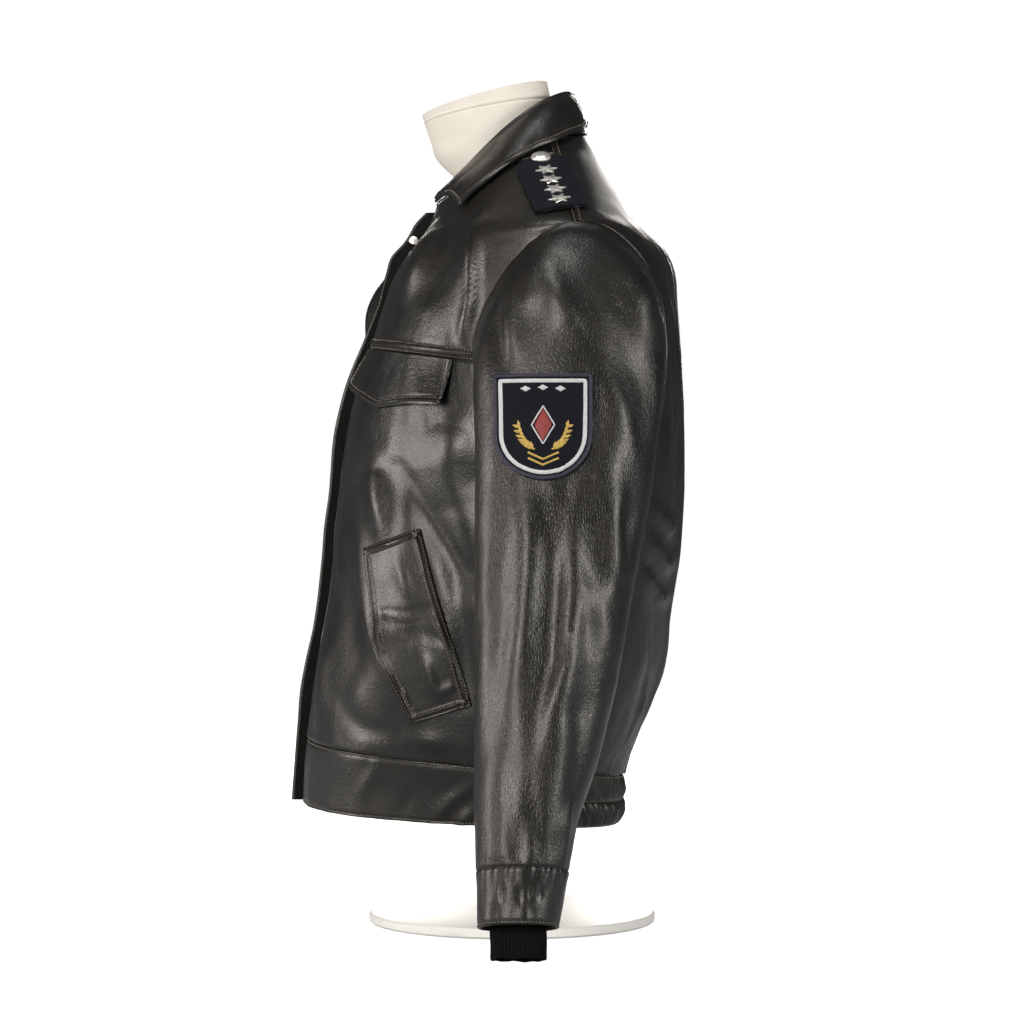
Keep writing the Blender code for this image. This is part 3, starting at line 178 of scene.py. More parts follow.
SLEEVE_FOLDS = (
    (0.030, 0.640, 0.046, 0.560, 0.014, 0.0030),
    (0.112, 0.610, 0.128, 0.545, 0.014, 0.0045),
    (0.098, 0.580, 0.118, 0.480, 0.014, -0.0045),
    (0.078, 0.480, 0.094, 0.350, 0.015, 0.0042),
    (0.056, 0.420, 0.070, 0.300, 0.015, -0.0040),
    (0.020, 0.400, 0.006, 0.150, 0.013, 0.0035),
    (-0.008, 0.430, -0.012, 0.200, 0.013, -0.0035),
    (0.050, 0.330, 0.038, 0.130, 0.012, 0.0040),
    (0.072, 0.260, 0.050, 0.150, 0.011, -0.0032),
)
CHEST_BULGE = {"x": 0.055, "width": 0.045, "low": 0.605, "spread": 0.052, "depth": 0.023}

# Gathers of the back waistband
PLEATS = 52
PLEAT_HEIGHT = 0.0030

# Dress form, pole and base
FORM_GAP = 0.0012
FORM_COLUMNS = ("height", "half_width", "front", "back")
FORM_TRUNK = (
    (0.150, 0.150, -0.135, 0.075),
    (0.200, 0.155, -0.135, 0.085),
    (0.270, 0.150, -0.128, 0.090),
    (0.360, 0.158, -0.130, 0.112),
    (0.440, 0.170, -0.138, 0.135),
    (0.520, 0.178, -0.136, 0.145),
    (0.580, 0.186, -0.118, 0.148),
    (0.630, 0.200, -0.096, 0.143),
)
NECK_COLUMNS = ("height", "half_width", "front", "back")
NECK = (
    (0.726, 0.0600, -0.0545, 0.0560),
    (0.745, 0.0575, -0.0735, 0.0540),
    (0.765, 0.0560, -0.0790, 0.0480),
    (0.785, 0.0550, -0.0840, 0.0400),
    (0.805, 0.0545, -0.0880, 0.0345),
)
NECK_TOP_RISE = 0.27
TOUCH = 0.0003

# Pieces that lie on the panels
FLAP_LIFT = 0.0009
POCKET_LIFT = 0.0017
FLAP_THICK = 0.0026
STRAP_LIFT = 0.0010
STRAP_THICK = 0.0020
SLIDE_THICK = 0.0018
PATCH_LIFT = 0.0012
PATCH_THICK = 0.0016
LEFT = 1
RIGHT = -1
SIDES = {"left": LEFT, "right": RIGHT}

# How far the knit cuff has flared at each share of its height, and its full flare
KNIT_FLARE = ((0.0, 0.0), (0.65, 0.0), (0.80, 0.35), (1.0, 1.0))
KNIT_FLARE_X = 0.0118
KNIT_FLARE_Y = 0.0092

# The collar from its front end to the middle of the back: roll line, edge of the fall, how far that
# edge stands off the shoulder, and how far it is raised
COLLAR_COLUMNS = ("share", "roll_x", "roll_y", "roll_z", "edge_x", "edge_y", "lift", "rise")
COLLAR = (
    (0.00, 0.0380, -0.0735, 0.7080, 0.1280, -0.0460, 0.0070, 0.0000),
    (0.18, 0.0560, -0.0480, 0.7300, 0.1250, -0.0210, 0.0065, 0.0000),
    (0.38, 0.0670, -0.0110, 0.7660, 0.1140, 0.0040, 0.0060, 0.0000),
    (0.55, 0.0640, 0.0150, 0.7870, 0.1000, 0.0230, 0.0055, 0.0010),
    (0.70, 0.0530, 0.0360, 0.8000, 0.0850, 0.0440, 0.0040, 0.0040),
    (0.85, 0.0300, 0.0520, 0.8085, 0.0510, 0.0660, 0.0030, 0.0080),
    (1.00, 0.0000, 0.0585, 0.8115, 0.0000, 0.0730, 0.0025, 0.0095),
)
COLLAR_ROLL = 0.0036
COLLAR_CROWN = 0.0065
FLAP_TOP_X = (0.062, 0.200)

# Lower edge of the flap: share of its width, drop below the chest seam, lift off the panel
FLAP_EDGE = (
    (0.00, 0.0380, 0.0060),
    (0.20, 0.0440, 0.0030),
    (0.52, 0.0520, 0.0010),
    (0.80, 0.0450, 0.0040),
    (1.00, 0.0410, 0.0100),
)
FLAP_OVERHANG = 0.010
FLAP_BELOW_SEAM = 0.0012

# Corners of the hand pocket seen from the side (y, z), down its front edge and down its back edge
POCKET_FRONT_EDGE = (
    (-0.1355, 0.3664), (-0.1290, 0.3130), (-0.1240, 0.2820), (-0.1080, 0.2440), (-0.0911, 0.2060)
)
POCKET_BACK_EDGE = (
    (-0.0854, 0.3853), (-0.0740, 0.3440), (-0.0620, 0.3040), (-0.0500, 0.2640), (-0.0374, 0.2230)
)
EDGE_BEHIND = 0.005
EDGE_THICK = 0.0018
TAPE_THICK = 0.0010
TAPE_SHORT = 0.0018

# Shoulder strap along the ridge of the shoulder, in plan: inner end, outer end and half width
STRAP_INNER = (0.1080, 0.0250)
STRAP_OUTER = (0.2240, 0.0480)
STRAP_HALF_WIDTH = 0.0215
STRAP_END = 0.91
SLIDE_START = 0.100
SLIDE_END = 0.92
SLIDE_HALF_WIDTH = 0.0240

# The sleeve patch seen from the side: half width, and its edges by height
PATCH_MIDDLE_Y = 0.0275
PATCH_HALF_WIDTH = 0.0425
PATCH_TOP = 0.5205
PATCH_LOW = 0.4280
PATCH_STRAIGHT = 0.60
FORM_SHOULDER_HEIGHTS = (0.652, 0.6627, 0.68176, 0.70082, 0.71988)
SHOULDER_DRAW = 0.07
FRONT_ROWS_SPREAD = 1.12
YOKE_PSI = math.pi - math.acos((ARMHOLE_MIDDLE[1] - CHEST_SEAM_SIDE) / ARMHOLE_HALF_HEIGHT)
SIDE_STEPS, LOWER_STEPS = 7, 12
YOKE_ARM_STEPS, YOKE_STEPS = 6, 11
BACK_ARM_STEPS, SHOULDER_STEPS, BACK_STEPS = 10, 5, 22

# Sizes of the finish
MM = 0.001
SEAM_PUCKER = 0.0007
HEAD_RIDGE = 0.0028
HEAD_PUCKER = 0.0016
THREAD_RADIUS = 0.00055
GRAIN = 0.0015
CRACK = 0.0024
FINE_RIBS = 52
RIB_HEIGHT = 0.0011
NECK_SEAM = 0.7915
REACH = 0.35
RIGHT_SHIFT = (0.006, -0.014)
RIGHT_SLEEVE_SHIFT = (-0.005, -0.017)

# Places of the fine rows along every edge, and the tucked-in allowance where gathers meet
EDGE_PLACES = (0.0, 0.0006, 0.0014, 0.0024, 0.0036, 0.0050, 0.0064, 0.0076, 0.0086, 0.0098, 0.0112)
TUCK_UP, TUCK_IN = 0.0060, 0.0042

# Distance of the stitched lines from each kind of edge
STITCHED = {
    "turned": (0.0030,),
    "welt": (0.0022, 0.0110),
    "topstitch": (0.0022, 0.0085),
    "collar": (0.0062,),
    "flap": (0.0072,),
    "double": (0.0018, 0.0085),
    "strap": (0.0045,),
    "rim": (0.0026,),
}

MATERIALS = {}
FINE_GRIDS = {}
STITCHES = {}

# Lamps: name, place, what they are aimed at, size, power and colour
LAMPS = (
    ("large lamp by the camera", (2.5, -1.3, 1.15), (0.1, 0.0, 0.40), (1.1, 1.1), 56.0, (1.0, 0.95, 0.89)),
    ("lamp on the front side", (0.2, -2.9, 0.75), (0.1, 0.0, 0.45), (1.0, 1.0), 40.0, (1.0, 0.95, 0.90)),
    ("lamp behind", (1.6, 2.4, 1.0), (0.1, 0.0, 0.45), (0.7, 1.2), 50.0, (1.0, 0.96, 0.91)),
    ("lamp above", (0.9, -0.2, 2.8), (0.1, 0.0, 0.5), (1.0, 1.0), 30.0, (1.0, 0.97, 0.93)),
    ("lamp on the far side", (-2.5, 0.1, 1.2), (0.0, 0.0, 0.45), (1.1, 1.1), 55.0, (1.0, 0.96, 0.91)),
)

# Fine folds in millimetres: the places of a path one after the other, its width, its height, and how
# much sharper one side is. On the fronts and sleeves a place is y, z, on the back x, z
FINE_FRONT = (
    ((-55, 478, -61, 441, -52, 404), 19.5, 3.4, 0),
    ((-104, 441, -84, 406, -61, 369, -33, 330), 11.1, -3.6, 0.3),
    ((-46, 406, -39, 374, -31, 346), 15.6, 3, 0),
    ((-129, 455, -128, 420, -121, 374), 7.8, 2.8, 0.3),
    ((-115, 439, -111, 402, -107, 382), 7.8, -1.8, 0),
    ((-144, 385, -140, 328, -130, 284, -112, 249, -97, 211), 7.2, 3, -0.3),
    ((-154, 356, -152, 282, -135, 235), 10.4, -1.6, 0),
    ((-57, 356, -50, 322, -45, 296), 7.8, -2, 0),
    ((-45, 293, -39, 263, -35, 226), 10.4, -2.4, 0),
    ((-98, 192, -61, 187), 6.5, 1.8, 0),
    ((-178, 272, -183, 226, -185, 200), 6.5, 2.2, 0),
    ((-168, 226, -141, 200, -111, 194), 7.8, -1.5, 0),
    ((-66, 683, -80, 647, -100, 605), 9.1, 3.4, 0.3),
    ((-53, 665, -67, 631, -78, 596), 10.4, -1.6, 0),
    ((-31, 666, -37, 642, -37, 605, -43, 561), 7.2, 4, -0.4),
    ((-26, 651, -30, 622, -32, 596), 7.8, -3, 0),
    ((-47, 579, -45, 552), 5.2, 1.4, 0),
    ((-39, 568, -38, 548), 3.3, 1.2, 0),
    ((-141, 554, -148, 517), 7.8, 1.6, 0),
)
FINE_SLEEVE = (
    ((30, 619, 42, 590, 59, 561), 10.5, 3.4, 0.3),
    ((18, 614, 15, 580), 7.7, 2.2, 0),
    ((-3, 601, -4, 570, 1, 540), 7.7, 2.6, 0),
    ((-11, 593, -14, 561, -12, 530), 8.4, -3.4, 0),
    ((91, 640, 117, 614, 121, 579), 15.4, 3, -0.2),
    ((79, 619, 98, 586, 117, 561), 11.2, -2.2, 0),
    ((82, 524, 96, 489, 106, 447), 11.2, 3, 0.3),
    ((103, 517, 109, 477), 6.3, 1.4, 0),
    ((72, 502, 80, 453), 9.8, -1.8, 0),
    ((45, 437, 47, 409), 4.9, -1.2, 0),
    ((6, 425, 15, 375, 10, 323, 2, 270, -5, 222, -12, 174, -11, 135, -6, 93), 11.2, 3.4, 0.2),
    ((29, 411, 29, 358, 21, 305, 14, 253), 11.2, -2.2, 0),
    ((57, 418, 53, 375, 50, 323, 47, 270, 32, 225, 24, 183, 28, 146, 32, 107), 10.5, 4.2, -0.35),
    ((40, 371, 37, 323, 32, 275, 18, 230), 8.4, -2.6, 0),
    ((96, 418, 93, 371, 88, 326), 7.7, 2.4, 0.3),
    ((105, 411, 102, 365), 9.8, -2.8, 0),
    ((58, 347, 74, 314, 88, 281), 12.6, 3, 0),
    ((39, 232, 58, 227, 70, 244), 9.8, -1.2, 0),
    ((52, 156, 47, 121, 42, 90), 3.6, 2.6, 0.4),
    ((58, 148, 54, 117), 5.6, -1.4, 0),
    ((13, 135, 18, 97), 5.6, 1.6, 0),
    ((3, 121, 4, 93), 7, -1.2, 0),
    ((137, 580, 133, 524, 130, 470), 5.6, 1.8, 0),
    ((77, 279, 68, 218, 61, 183), 8.4, 1.6, 0),
)
FINE_BACK = (
    ((190, 400, 150, 385, 105, 392), 6, 2.8, 0.3),
    ((195, 375, 150, 352, 90, 356), 7, 2.6, -0.2),
    ((188, 340, 140, 318, 85, 322), 6, 2.4, 0.3),
    ((192, 357, 150, 337), 6, -2.2, 0),
    ((-190, 395, -145, 378, -95, 388), 7, 2.8, 0.3),
    ((-192, 362, -140, 340, -95, 346), 6, 2.4, -0.2),
    ((-185, 330, -130, 312), 7, 2.2, 0),
    ((165, 600, 135, 540, 118, 470), 8, 3, 0.3),
    ((-162, 600, -140, 535, -122, 460), 9, 2.8, -0.3),
    ((30, 470, 22, 380, 34, 290), 9, 2.2, 0.2),
    ((-25, 440, -35, 350, -26, 260), 8, 2, -0.2),
    ((90, 300, 75, 240, 82, 190), 7, 2.4, 0),
    ((-85, 290, -72, 235, -80, 185), 7, 2.2, 0),
    ((140, 270, 120, 220, 124, 180), 6, 2.2, 0.2),
    ((-135, 262, -118, 215, -122, 178), 6, 2, -0.2),
    ((0, 735, 4, 690, -2, 640), 12, 1.2, 0),
)
FINE_BAND = (
    ((-81, 108, -57, 134, -35, 150), 5.5, 1.8, 0),
    ((-55, 102, -35, 128), 5, 1.6, 0),
    ((-108, 113, -92, 143), 6, -1.4, 0),
    ((-141, 134, -129, 161), 6, 1.4, 0),
)
POCKET_CREASES = (
    ((-116, 308, -94, 306, -72, 313), 4.2, -2, 0.3),
    ((-104, 284, -80, 287, -63, 282), 4.2, -1.8, -0.3),
    ((-80, 268, -70, 235), 5, 1.8, 0),
    ((-102, 356, -92, 319), 6, 1.4, 0),
    ((-67, 235, -53, 241), 4, 1.2, 0),
)
CUFF_GATHERS = (
    ((-9, 83.5, -8.5, 70), 2.2, -1.5, 0),
    ((6, 83, 6.8, 69), 2.2, -1.6, 0),
    ((16, 83, 16.5, 72), 2, -1.4, 0),
    ((25.5, 82.5, 25, 71.5), 2.2, -1.4, 0),
    ((10.5, 68, 12.5, 44), 5, 1.6, 0.3),
    ((-14, 70, -16, 50), 4, -1, 0),
)

# Outline of the shield on the sleeve badge, and its emblem, in millimetres from its middle, x to the back
BADGE_MIDDLE_Z = 0.4745
LOZENGE_ROW = ((-15.0, 33.0), (0.0, 34.0), (15.0, 33.0))
LEAF_COUNT = 7


# The surfaces of the torso, sleeves, cuffs and form


def flowing(at, places, values):
    """A smooth curve through the values, read at the given places, flat where the values turn."""
    places = np.asarray(places, float)
    values = np.asarray(values, float)
    steps = np.diff(values) / np.diff(places)
    slopes = np.concatenate([steps[:1], (steps[:-1] + steps[1:]) / 2, steps[-1:]])
    turning = np.concatenate([[False], steps[:-1] * steps[1:] <= 0, [False]])
    slopes = np.where(turning, 0.0, slopes)
    at = np.clip(np.asarray(at, float), places[0], places[-1])
    span = np.clip(np.searchsorted(places, at, side="right") - 1, 0, len(places) - 2)
    width = places[span + 1] - places[span]
    t = (at - places[span]) / width
    rise = values[span] * (2 * t**3 - 3 * t**2 + 1) + values[span + 1] * (3 * t**2 - 2 * t**3)
    lean = slopes[span] * (t**3 - 2 * t**2 + t) + slopes[span + 1] * (t**3 - t**2)
    return rise + lean * width


def column(rows, columns, name, at):
    places = [row[0] for row in rows]
    values = [row[columns.index(name)] for row in rows]
    return flowing(at, places, values)


def section(height, name):
    return column(SECTIONS, SECTION_COLUMNS, name, height)


def power(value, exponent):
    return np.sign(value) * np.abs(value) ** exponent


def unit(vectors):
    return vectors / np.maximum(np.linalg.norm(vectors, axis=-1, keepdims=True), 1e-12)


def fold_field(across, up, folds):
    """Height of all the folds at each place, each a soft ridge or trough along its line."""
    total = np.zeros(np.broadcast(across, up).shape)
    for across_1, up_1, across_2, up_2, width, height in folds:
        run = np.array([across_2 - across_1, up_2 - up_1])
        length = np.hypot(*run)
        along = ((across - across_1) * run[0] + (up - up_1) * run[1]) / length**2
        held = np.clip(along, 0, 1)
        away = np.hypot(across - across_1 - held * run[0], up - up_1 - held * run[1])
        ends = np.sin(np.pi * np.clip(along * 0.8 + 0.1, 0, 1)) ** 0.8
        total = total + height * ends * np.exp(-((away / width) ** 2))
    return total


def bare_torso(theta, height, side=LEFT):
    """The jacket with no folds: theta is -90 degrees at the front, 0 at the side, 90 at the back."""
    theta, height = np.broadcast_arrays(np.asarray(theta, float), np.asarray(height, float))
    sine, cosine = np.sin(theta), np.cos(theta)
    middle = section(height, "side")
    ahead = sine < 0
    shape = np.where(ahead, section(height, "front_shape"), section(height, "back_shape"))
    reach = np.where(ahead, middle - section(height, "front"), section(height, "back") - middle)
    x = section(height, "half_width") * power(cosine, 2 / shape)
    y = middle + reach * power(sine, 2 / shape)
    if side == RIGHT:
        bulge = CHEST_BULGE
        sideways = np.exp(-(((x - bulge["x"]) / bulge["width"]) ** 2))
        upward = np.exp(-(((height - bulge["low"]) / bulge["spread"]) ** 2))
        inside = np.clip((x - 0.004) / 0.030, 0, 1)
        below_neck = np.clip((0.690 - height) / 0.03, 0, 1)
        y = y - np.where(ahead, bulge["depth"] * sideways * upward * inside * below_neck, 0)
    return np.stack([side * x, y, height], axis=-1)


def grid_normal(function, first, second):
    """Unit normals of a surface given as a function, by small steps of its two parameters."""
    step = 1e-4
    across = function(first + step, second) - function(first - step, second)
    along = function(first, second + step) - function(first, second - step)
    return unit(np.cross(across, along))


def torso(theta, height, side=LEFT):
    """The jacket's outer surface with its folds."""
    theta, height = np.broadcast_arrays(np.asarray(theta, float), np.asarray(height, float))
    base = bare_torso(theta, height, side)
    out = side * grid_normal(lambda a, b: bare_torso(a, b, side), theta, height)
    frontness = np.clip(0.5 - np.sin(theta) * 2.2, 0, 1)
    fronts = fold_field(base[..., 1], height, FRONT_FOLDS) * frontness
    backs = fold_field(base[..., 0], height, BACK_FOLDS) * (1 - frontness)
    calm = np.clip((0.700 - height) / 0.05, 0, 1) * np.clip((height - 0.175) / 0.05, 0, 1)
    return base + out * ((fronts + backs) * calm)[..., None]


def torso_normal(theta, height, side=LEFT):
    return side * grid_normal(lambda a, b: torso(a, b, side), theta, height)


def angle_at_y(y, height):
    """The front or back angle whose point lies at this y on the section at this height."""
    middle = section(height, "side")
    ahead = y < middle
    shape = np.where(ahead, section(height, "front_shape"), section(height, "back_shape"))
    reach = np.where(ahead, middle - section(height, "front"), section(height, "back") - middle)
    return np.arcsin(np.clip(power((y - middle) / reach, shape / 2), -1, 1))


def angle_at_x(x, height):
    """The front angle whose point lies this far from the middle."""
    share = np.clip(x / section(height, "half_width"), 0, 1)
    return -np.arccos(share ** (section(height, "front_shape") / 2))


def armhole(psi):
    """Angle and height on the torso along the armhole: psi is 0 at the top and 90 degrees in front."""
    psi = np.asarray(psi, float)
    cosine, sine = np.cos(psi), np.sin(psi)
    top = np.where(sine > 0, ARMHOLE_SHAPE_TOP_FRONT, ARMHOLE_SHAPE_TOP_BACK)
    shape = np.where(cosine > 0, top, ARMHOLE_SHAPE_LOW)
    reach = np.where(sine > 0, ARMHOLE_REACH_FRONT, ARMHOLE_REACH_BACK)
    height = ARMHOLE_MIDDLE[1] + ARMHOLE_HALF_HEIGHT * power(cosine, 2 / shape)
    y = ARMHOLE_MIDDLE[0] - reach * power(sine, 2 / shape)
    return angle_at_y(y, height), height


def ring_point(psi, outer, inner, front_y, back_y, shape):
    """A point of a sleeve ring between an outer and an inner point, its front and its back."""
    cosine = power(np.cos(psi), 2 / shape)
    sine = power(np.sin(psi), 2 / shape)
    x = (outer[0] + inner[0]) / 2 + (outer[0] - inner[0]) / 2 * cosine
    z = (outer[1] + inner[1]) / 2 + (outer[1] - inner[1]) / 2 * cosine
    y = (front_y + back_y) / 2 - (back_y - front_y) / 2 * sine
    return np.stack([x, y, z], axis=-1)


def bare_sleeve(psi, ring):
    psi, ring = np.broadcast_arrays(np.asarray(psi, float), np.asarray(ring, float))
    value = {name: column(SLEEVE, SLEEVE_COLUMNS, name, ring) for name in SLEEVE_COLUMNS[1:]}
    outer = (value["outer_x"], value["outer_z"])
    inner = (value["inner_x"], value["inner_z"])
    points = ring_point(psi, outer, inner, value["front_y"], value["back_y"], value["shape"])
    first = SLEEVE[0]
    at_start = ring_point(psi, first[1:3], first[3:5], first[5], first[6], first[7])
    fade = np.clip(1 - ring / CAP_RINGS, 0, 1) ** 2
    return points + fade[..., None] * (torso(*armhole(psi)) - at_start)


def sleeve(psi, ring):
    """The left sleeve's outer surface with its folds."""
    psi, ring = np.broadcast_arrays(np.asarray(psi, float), np.asarray(ring, float))
    base = bare_sleeve(psi, ring)
    out = grid_normal(bare_sleeve, psi, ring)
    field = fold_field(base[..., 1], base[..., 2], SLEEVE_FOLDS)
    calm = np.clip(ring / 1.2, 0, 1) * np.clip((LAST_RING - ring) / 0.8, 0, 1)
    return base + out * (field * calm * (0.35 + 0.65 * np.clip(np.cos(psi) + 0.5, 0, 1)))[..., None]


def sleeve_normal(psi, ring):
    return grid_normal(sleeve, psi, ring)


def rising(share):
    """How the seams at the chest, hem and neck rise from the front to the side."""
    return share**1.6


def leather_cuff(psi, share):
    end = ring_point(
        psi,
        (CUFF_END["outer_x"], CUFF_END["outer_z"]),
        (CUFF_END["inner_x"], CUFF_END["inner_z"]),
        CUFF_END_FRONT,
        CUFF_END_BACK,
        2.1,
    )
    share = np.asarray(share, float)[..., None]
    return sleeve(psi, np.full(np.shape(psi), LAST_RING)) * (1 - share) + end * share


def knit_cuff(psi, share, lift):
    """The ribbed inner cuff from its lower edge up to where it flares to the leather cuff."""
    share = np.asarray(share, float)
    low, top = np.array(KNIT_CENTRE_LOW), np.array(KNIT_CENTRE_TOP)
    centre = low + (top - low) * share[..., None]
    grow = flowing(share, [row[0] for row in KNIT_FLARE], [row[1] for row in KNIT_FLARE])
    half_x = KNIT_HALF_X + lift + grow * KNIT_FLARE_X
    half_y = KNIT_HALF_Y + lift + grow * KNIT_FLARE_Y
    across = half_x * np.cos(psi)
    x = centre[..., 0] + across * math.cos(SLEEVE_TILT)
    z = centre[..., 2] + across * math.sin(SLEEVE_TILT)
    return np.stack([x, centre[..., 1] - half_y * np.sin(psi), z], axis=-1)


def trunk_ring(height, turns):
    half = column(FORM_TRUNK, FORM_COLUMNS, "half_width", height)
    front = column(FORM_TRUNK, FORM_COLUMNS, "front", height)
    back = column(FORM_TRUNK, FORM_COLUMNS, "back", height)
    y = (front + back) / 2 + (back - front) / 2 * power(np.sin(turns), 2 / 2.3)
    return np.stack([half * power(np.cos(turns), 2 / 2.3), y, np.full_like(turns, height)], axis=-1)


def shoulder_ring(height, turns):
    """Under the shoulders the form follows the jacket's own surface, less the wall and a small gap."""
    folded = np.where(np.abs(turns) > math.pi / 2, np.sign(turns) * math.pi - turns, turns)
    points = bare_torso(folded, np.full_like(turns, height))
    normals = grid_normal(bare_torso, folded, np.full_like(turns, height))
    deep = LEATHER + FORM_GAP + 0.010 * np.clip(np.abs(np.sin(folded)) - 0.25, 0, 1)
    points = points - normals * deep[:, None]
    points[:, 0] *= np.where(np.abs(turns) > math.pi / 2, -1, 1)
    return points


def neck_ring(height, turns):
    half = column(NECK, NECK_COLUMNS, "half_width", height)
    front = column(NECK, NECK_COLUMNS, "front", height)
    back = column(NECK, NECK_COLUMNS, "back", height)
    y = (front + back) / 2 + (back - front) / 2 * np.sin(turns)
    top = np.clip((height - 0.740) / (NECK[-1][0] - 0.740), 0, 1) ** 1.5
    z = height + NECK_TOP_RISE * (y - (front + back) / 2) * top
    return np.stack([half * np.cos(turns), y, z], axis=-1)


# Fine grids


def clustered(length, spacing, breaks=()):
    """Places from 0 to 1 along an edge, closer together near both ends."""
    near = np.array(EDGE_PLACES)
    count = max(3, round((length - 2 * near[-1]) / spacing))
    middle = np.linspace(near[-1], length - near[-1], count + 1)
    places = np.concatenate([near[:-1], middle, (length - near[:-1])[::-1]]) / length
    for value in breaks:
        places[np.argmin(np.abs(places - value))] = value
    return places


def fine_front_row(front_height, theta, height, shares):
    """Angles and heights of one row, from the front edge to the side, armhole or shoulder seam."""
    gap = column(EDGES, EDGE_COLUMNS, "half_gap", front_height)
    angles = even_places(angle_at_x(gap, front_height), theta, (front_height + height) / 2, shares)
    return angles, front_height + (height - front_height) * rising(shares)


def fine_back_row(middle_height, theta, height, shares):
    angles = even_places(theta, math.pi - theta, height, shares)
    return angles, height + (middle_height - height) * np.sin(np.pi * shares) ** 1.4


def even_places(start, end, height, shares):
    """Angles at these shares of the distance walked along the section between two angles."""
    fine = np.linspace(start, end, 241)
    points = bare_torso(fine, np.full_like(fine, height))
    walked = np.concatenate([[0], np.cumsum(np.linalg.norm(np.diff(points, axis=0), axis=1))])
    return np.interp(shares * walked[-1], walked, fine)


def stacked(rows):
    return np.array([row[0] for row in rows]), np.array([row[1] for row in rows])


def side_end(step):
    """Where a row of a front or the back ends on the side seam."""
    return 0.0, BAND_SIDE + (UNDERARM - BAND_SIDE) * step / SIDE_STEPS


def armhole_end(psi):
    theta, height = armhole(psi)
    return float(theta), float(height)


def lower_front_rows(steps, shares):
    """Rows of the lower front: 7 steps up the side seam, then 5 up the armhole."""
    part = SIDE_STEPS / LOWER_STEPS
    middle = BAND_FRONT + (CHEST_SEAM_FRONT - BAND_FRONT) * part * FRONT_ROWS_SPREAD
    rows = []
    for step in steps:
        if step <= SIDE_STEPS:
            end = side_end(step)
            front = BAND_FRONT + (middle - BAND_FRONT) * step / SIDE_STEPS
        else:
            share = (step - SIDE_STEPS) / (LOWER_STEPS - SIDE_STEPS)
            end = armhole_end(math.pi + (YOKE_PSI - math.pi) * share)
            front = middle + (CHEST_SEAM_FRONT - middle) * share
        rows.append(fine_front_row(front, *end, shares))
    return stacked(rows)


def yoke_rows(steps, shares):
    """Rows of the yoke: 6 steps up the armhole, then 5 up the shoulder seam."""
    rows = []
    for step in steps:
        if step <= YOKE_ARM_STEPS:
            end = armhole_end(YOKE_PSI * (1 - step / YOKE_ARM_STEPS))
        else:
            share = (step - YOKE_ARM_STEPS) / (YOKE_STEPS - YOKE_ARM_STEPS)
            end = (0.0, SHOULDER_POINT + (NECK_SIDE - SHOULDER_POINT) * share)
        front = CHEST_SEAM_FRONT + (NECK_FRONT - CHEST_SEAM_FRONT) * step / YOKE_STEPS
        rows.append(fine_front_row(front, *end, shares))
    return stacked(rows)


def back_rows(steps, shares):
    """Rows of the back: 7 steps up the side seams, 10 up the armholes and 5 up the shoulder seams."""
    rows = []
    for step in steps:
        if step <= SIDE_STEPS:
            end = side_end(step)
        elif step <= SIDE_STEPS + BACK_ARM_STEPS:
            end = armhole_end(math.pi * (1 + (step - SIDE_STEPS) / BACK_ARM_STEPS))
        else:
            share = (step - SIDE_STEPS - BACK_ARM_STEPS) / SHOULDER_STEPS
            end = (0.0, SHOULDER_POINT + (NECK_SIDE - SHOULDER_POINT) * share)
        middle = BAND_BACK + (end[1] - BAND_SIDE) / (NECK_SIDE - BAND_SIDE) * (NECK_BACK - BAND_BACK)
        rows.append(fine_back_row(middle, *end, shares))
    return stacked(rows)


def walked(points, axis):
    """Distance walked over a grid along an axis, from its first and from its last edge."""
    steps = np.linalg.norm(np.diff(points, axis=axis), axis=2)
    first = np.zeros(points.shape[:2])
    if axis == 1:
        first[:, 1:] = np.cumsum(steps, axis=1)
        return first, first[:, -1:] - first
    first[1:] = np.cumsum(steps, axis=0)
    return first, first[-1:] - first


def path_folds(across, up, folds, shift=(0.0, 0.0), strength=1.0):
    """Height of the fine folds: each is a soft ridge or trough along its path, steeper on one side."""
    total = np.zeros(across.shape)
    for path, width, height, skew in folds:
        places = np.reshape(path, (-1, 2)) * MM + np.array(shift)
        width, height = width * MM, height * MM
        lengths = np.hypot(*np.diff(places, axis=0).T)
        start = np.concatenate([[0], np.cumsum(lengths)])
        nearest = np.full(across.shape, 9.0)
        along = np.zeros(across.shape)
        side = np.zeros(across.shape)
        for number, length in enumerate(lengths):
            run = (places[number + 1] - places[number]) / length
            dx, dy = across - places[number][0], up - places[number][1]
            t = np.clip(dx * run[0] + dy * run[1], 0, length)
            away = np.hypot(dx - t * run[0], dy - t * run[1])
            closer = away < nearest
            nearest = np.where(closer, away, nearest)
            along = np.where(closer, (start[number] + t) / start[-1], along)
            side = np.where(closer, np.tanh((dx * run[1] - dy * run[0]) / (0.4 * width)), side)
        ends = np.sin(np.pi * (0.08 + 0.84 * along)) ** 0.8
        total += strength * height * ends * np.exp(-((nearest / (width * (1 + skew * side))) ** 2))
    return total


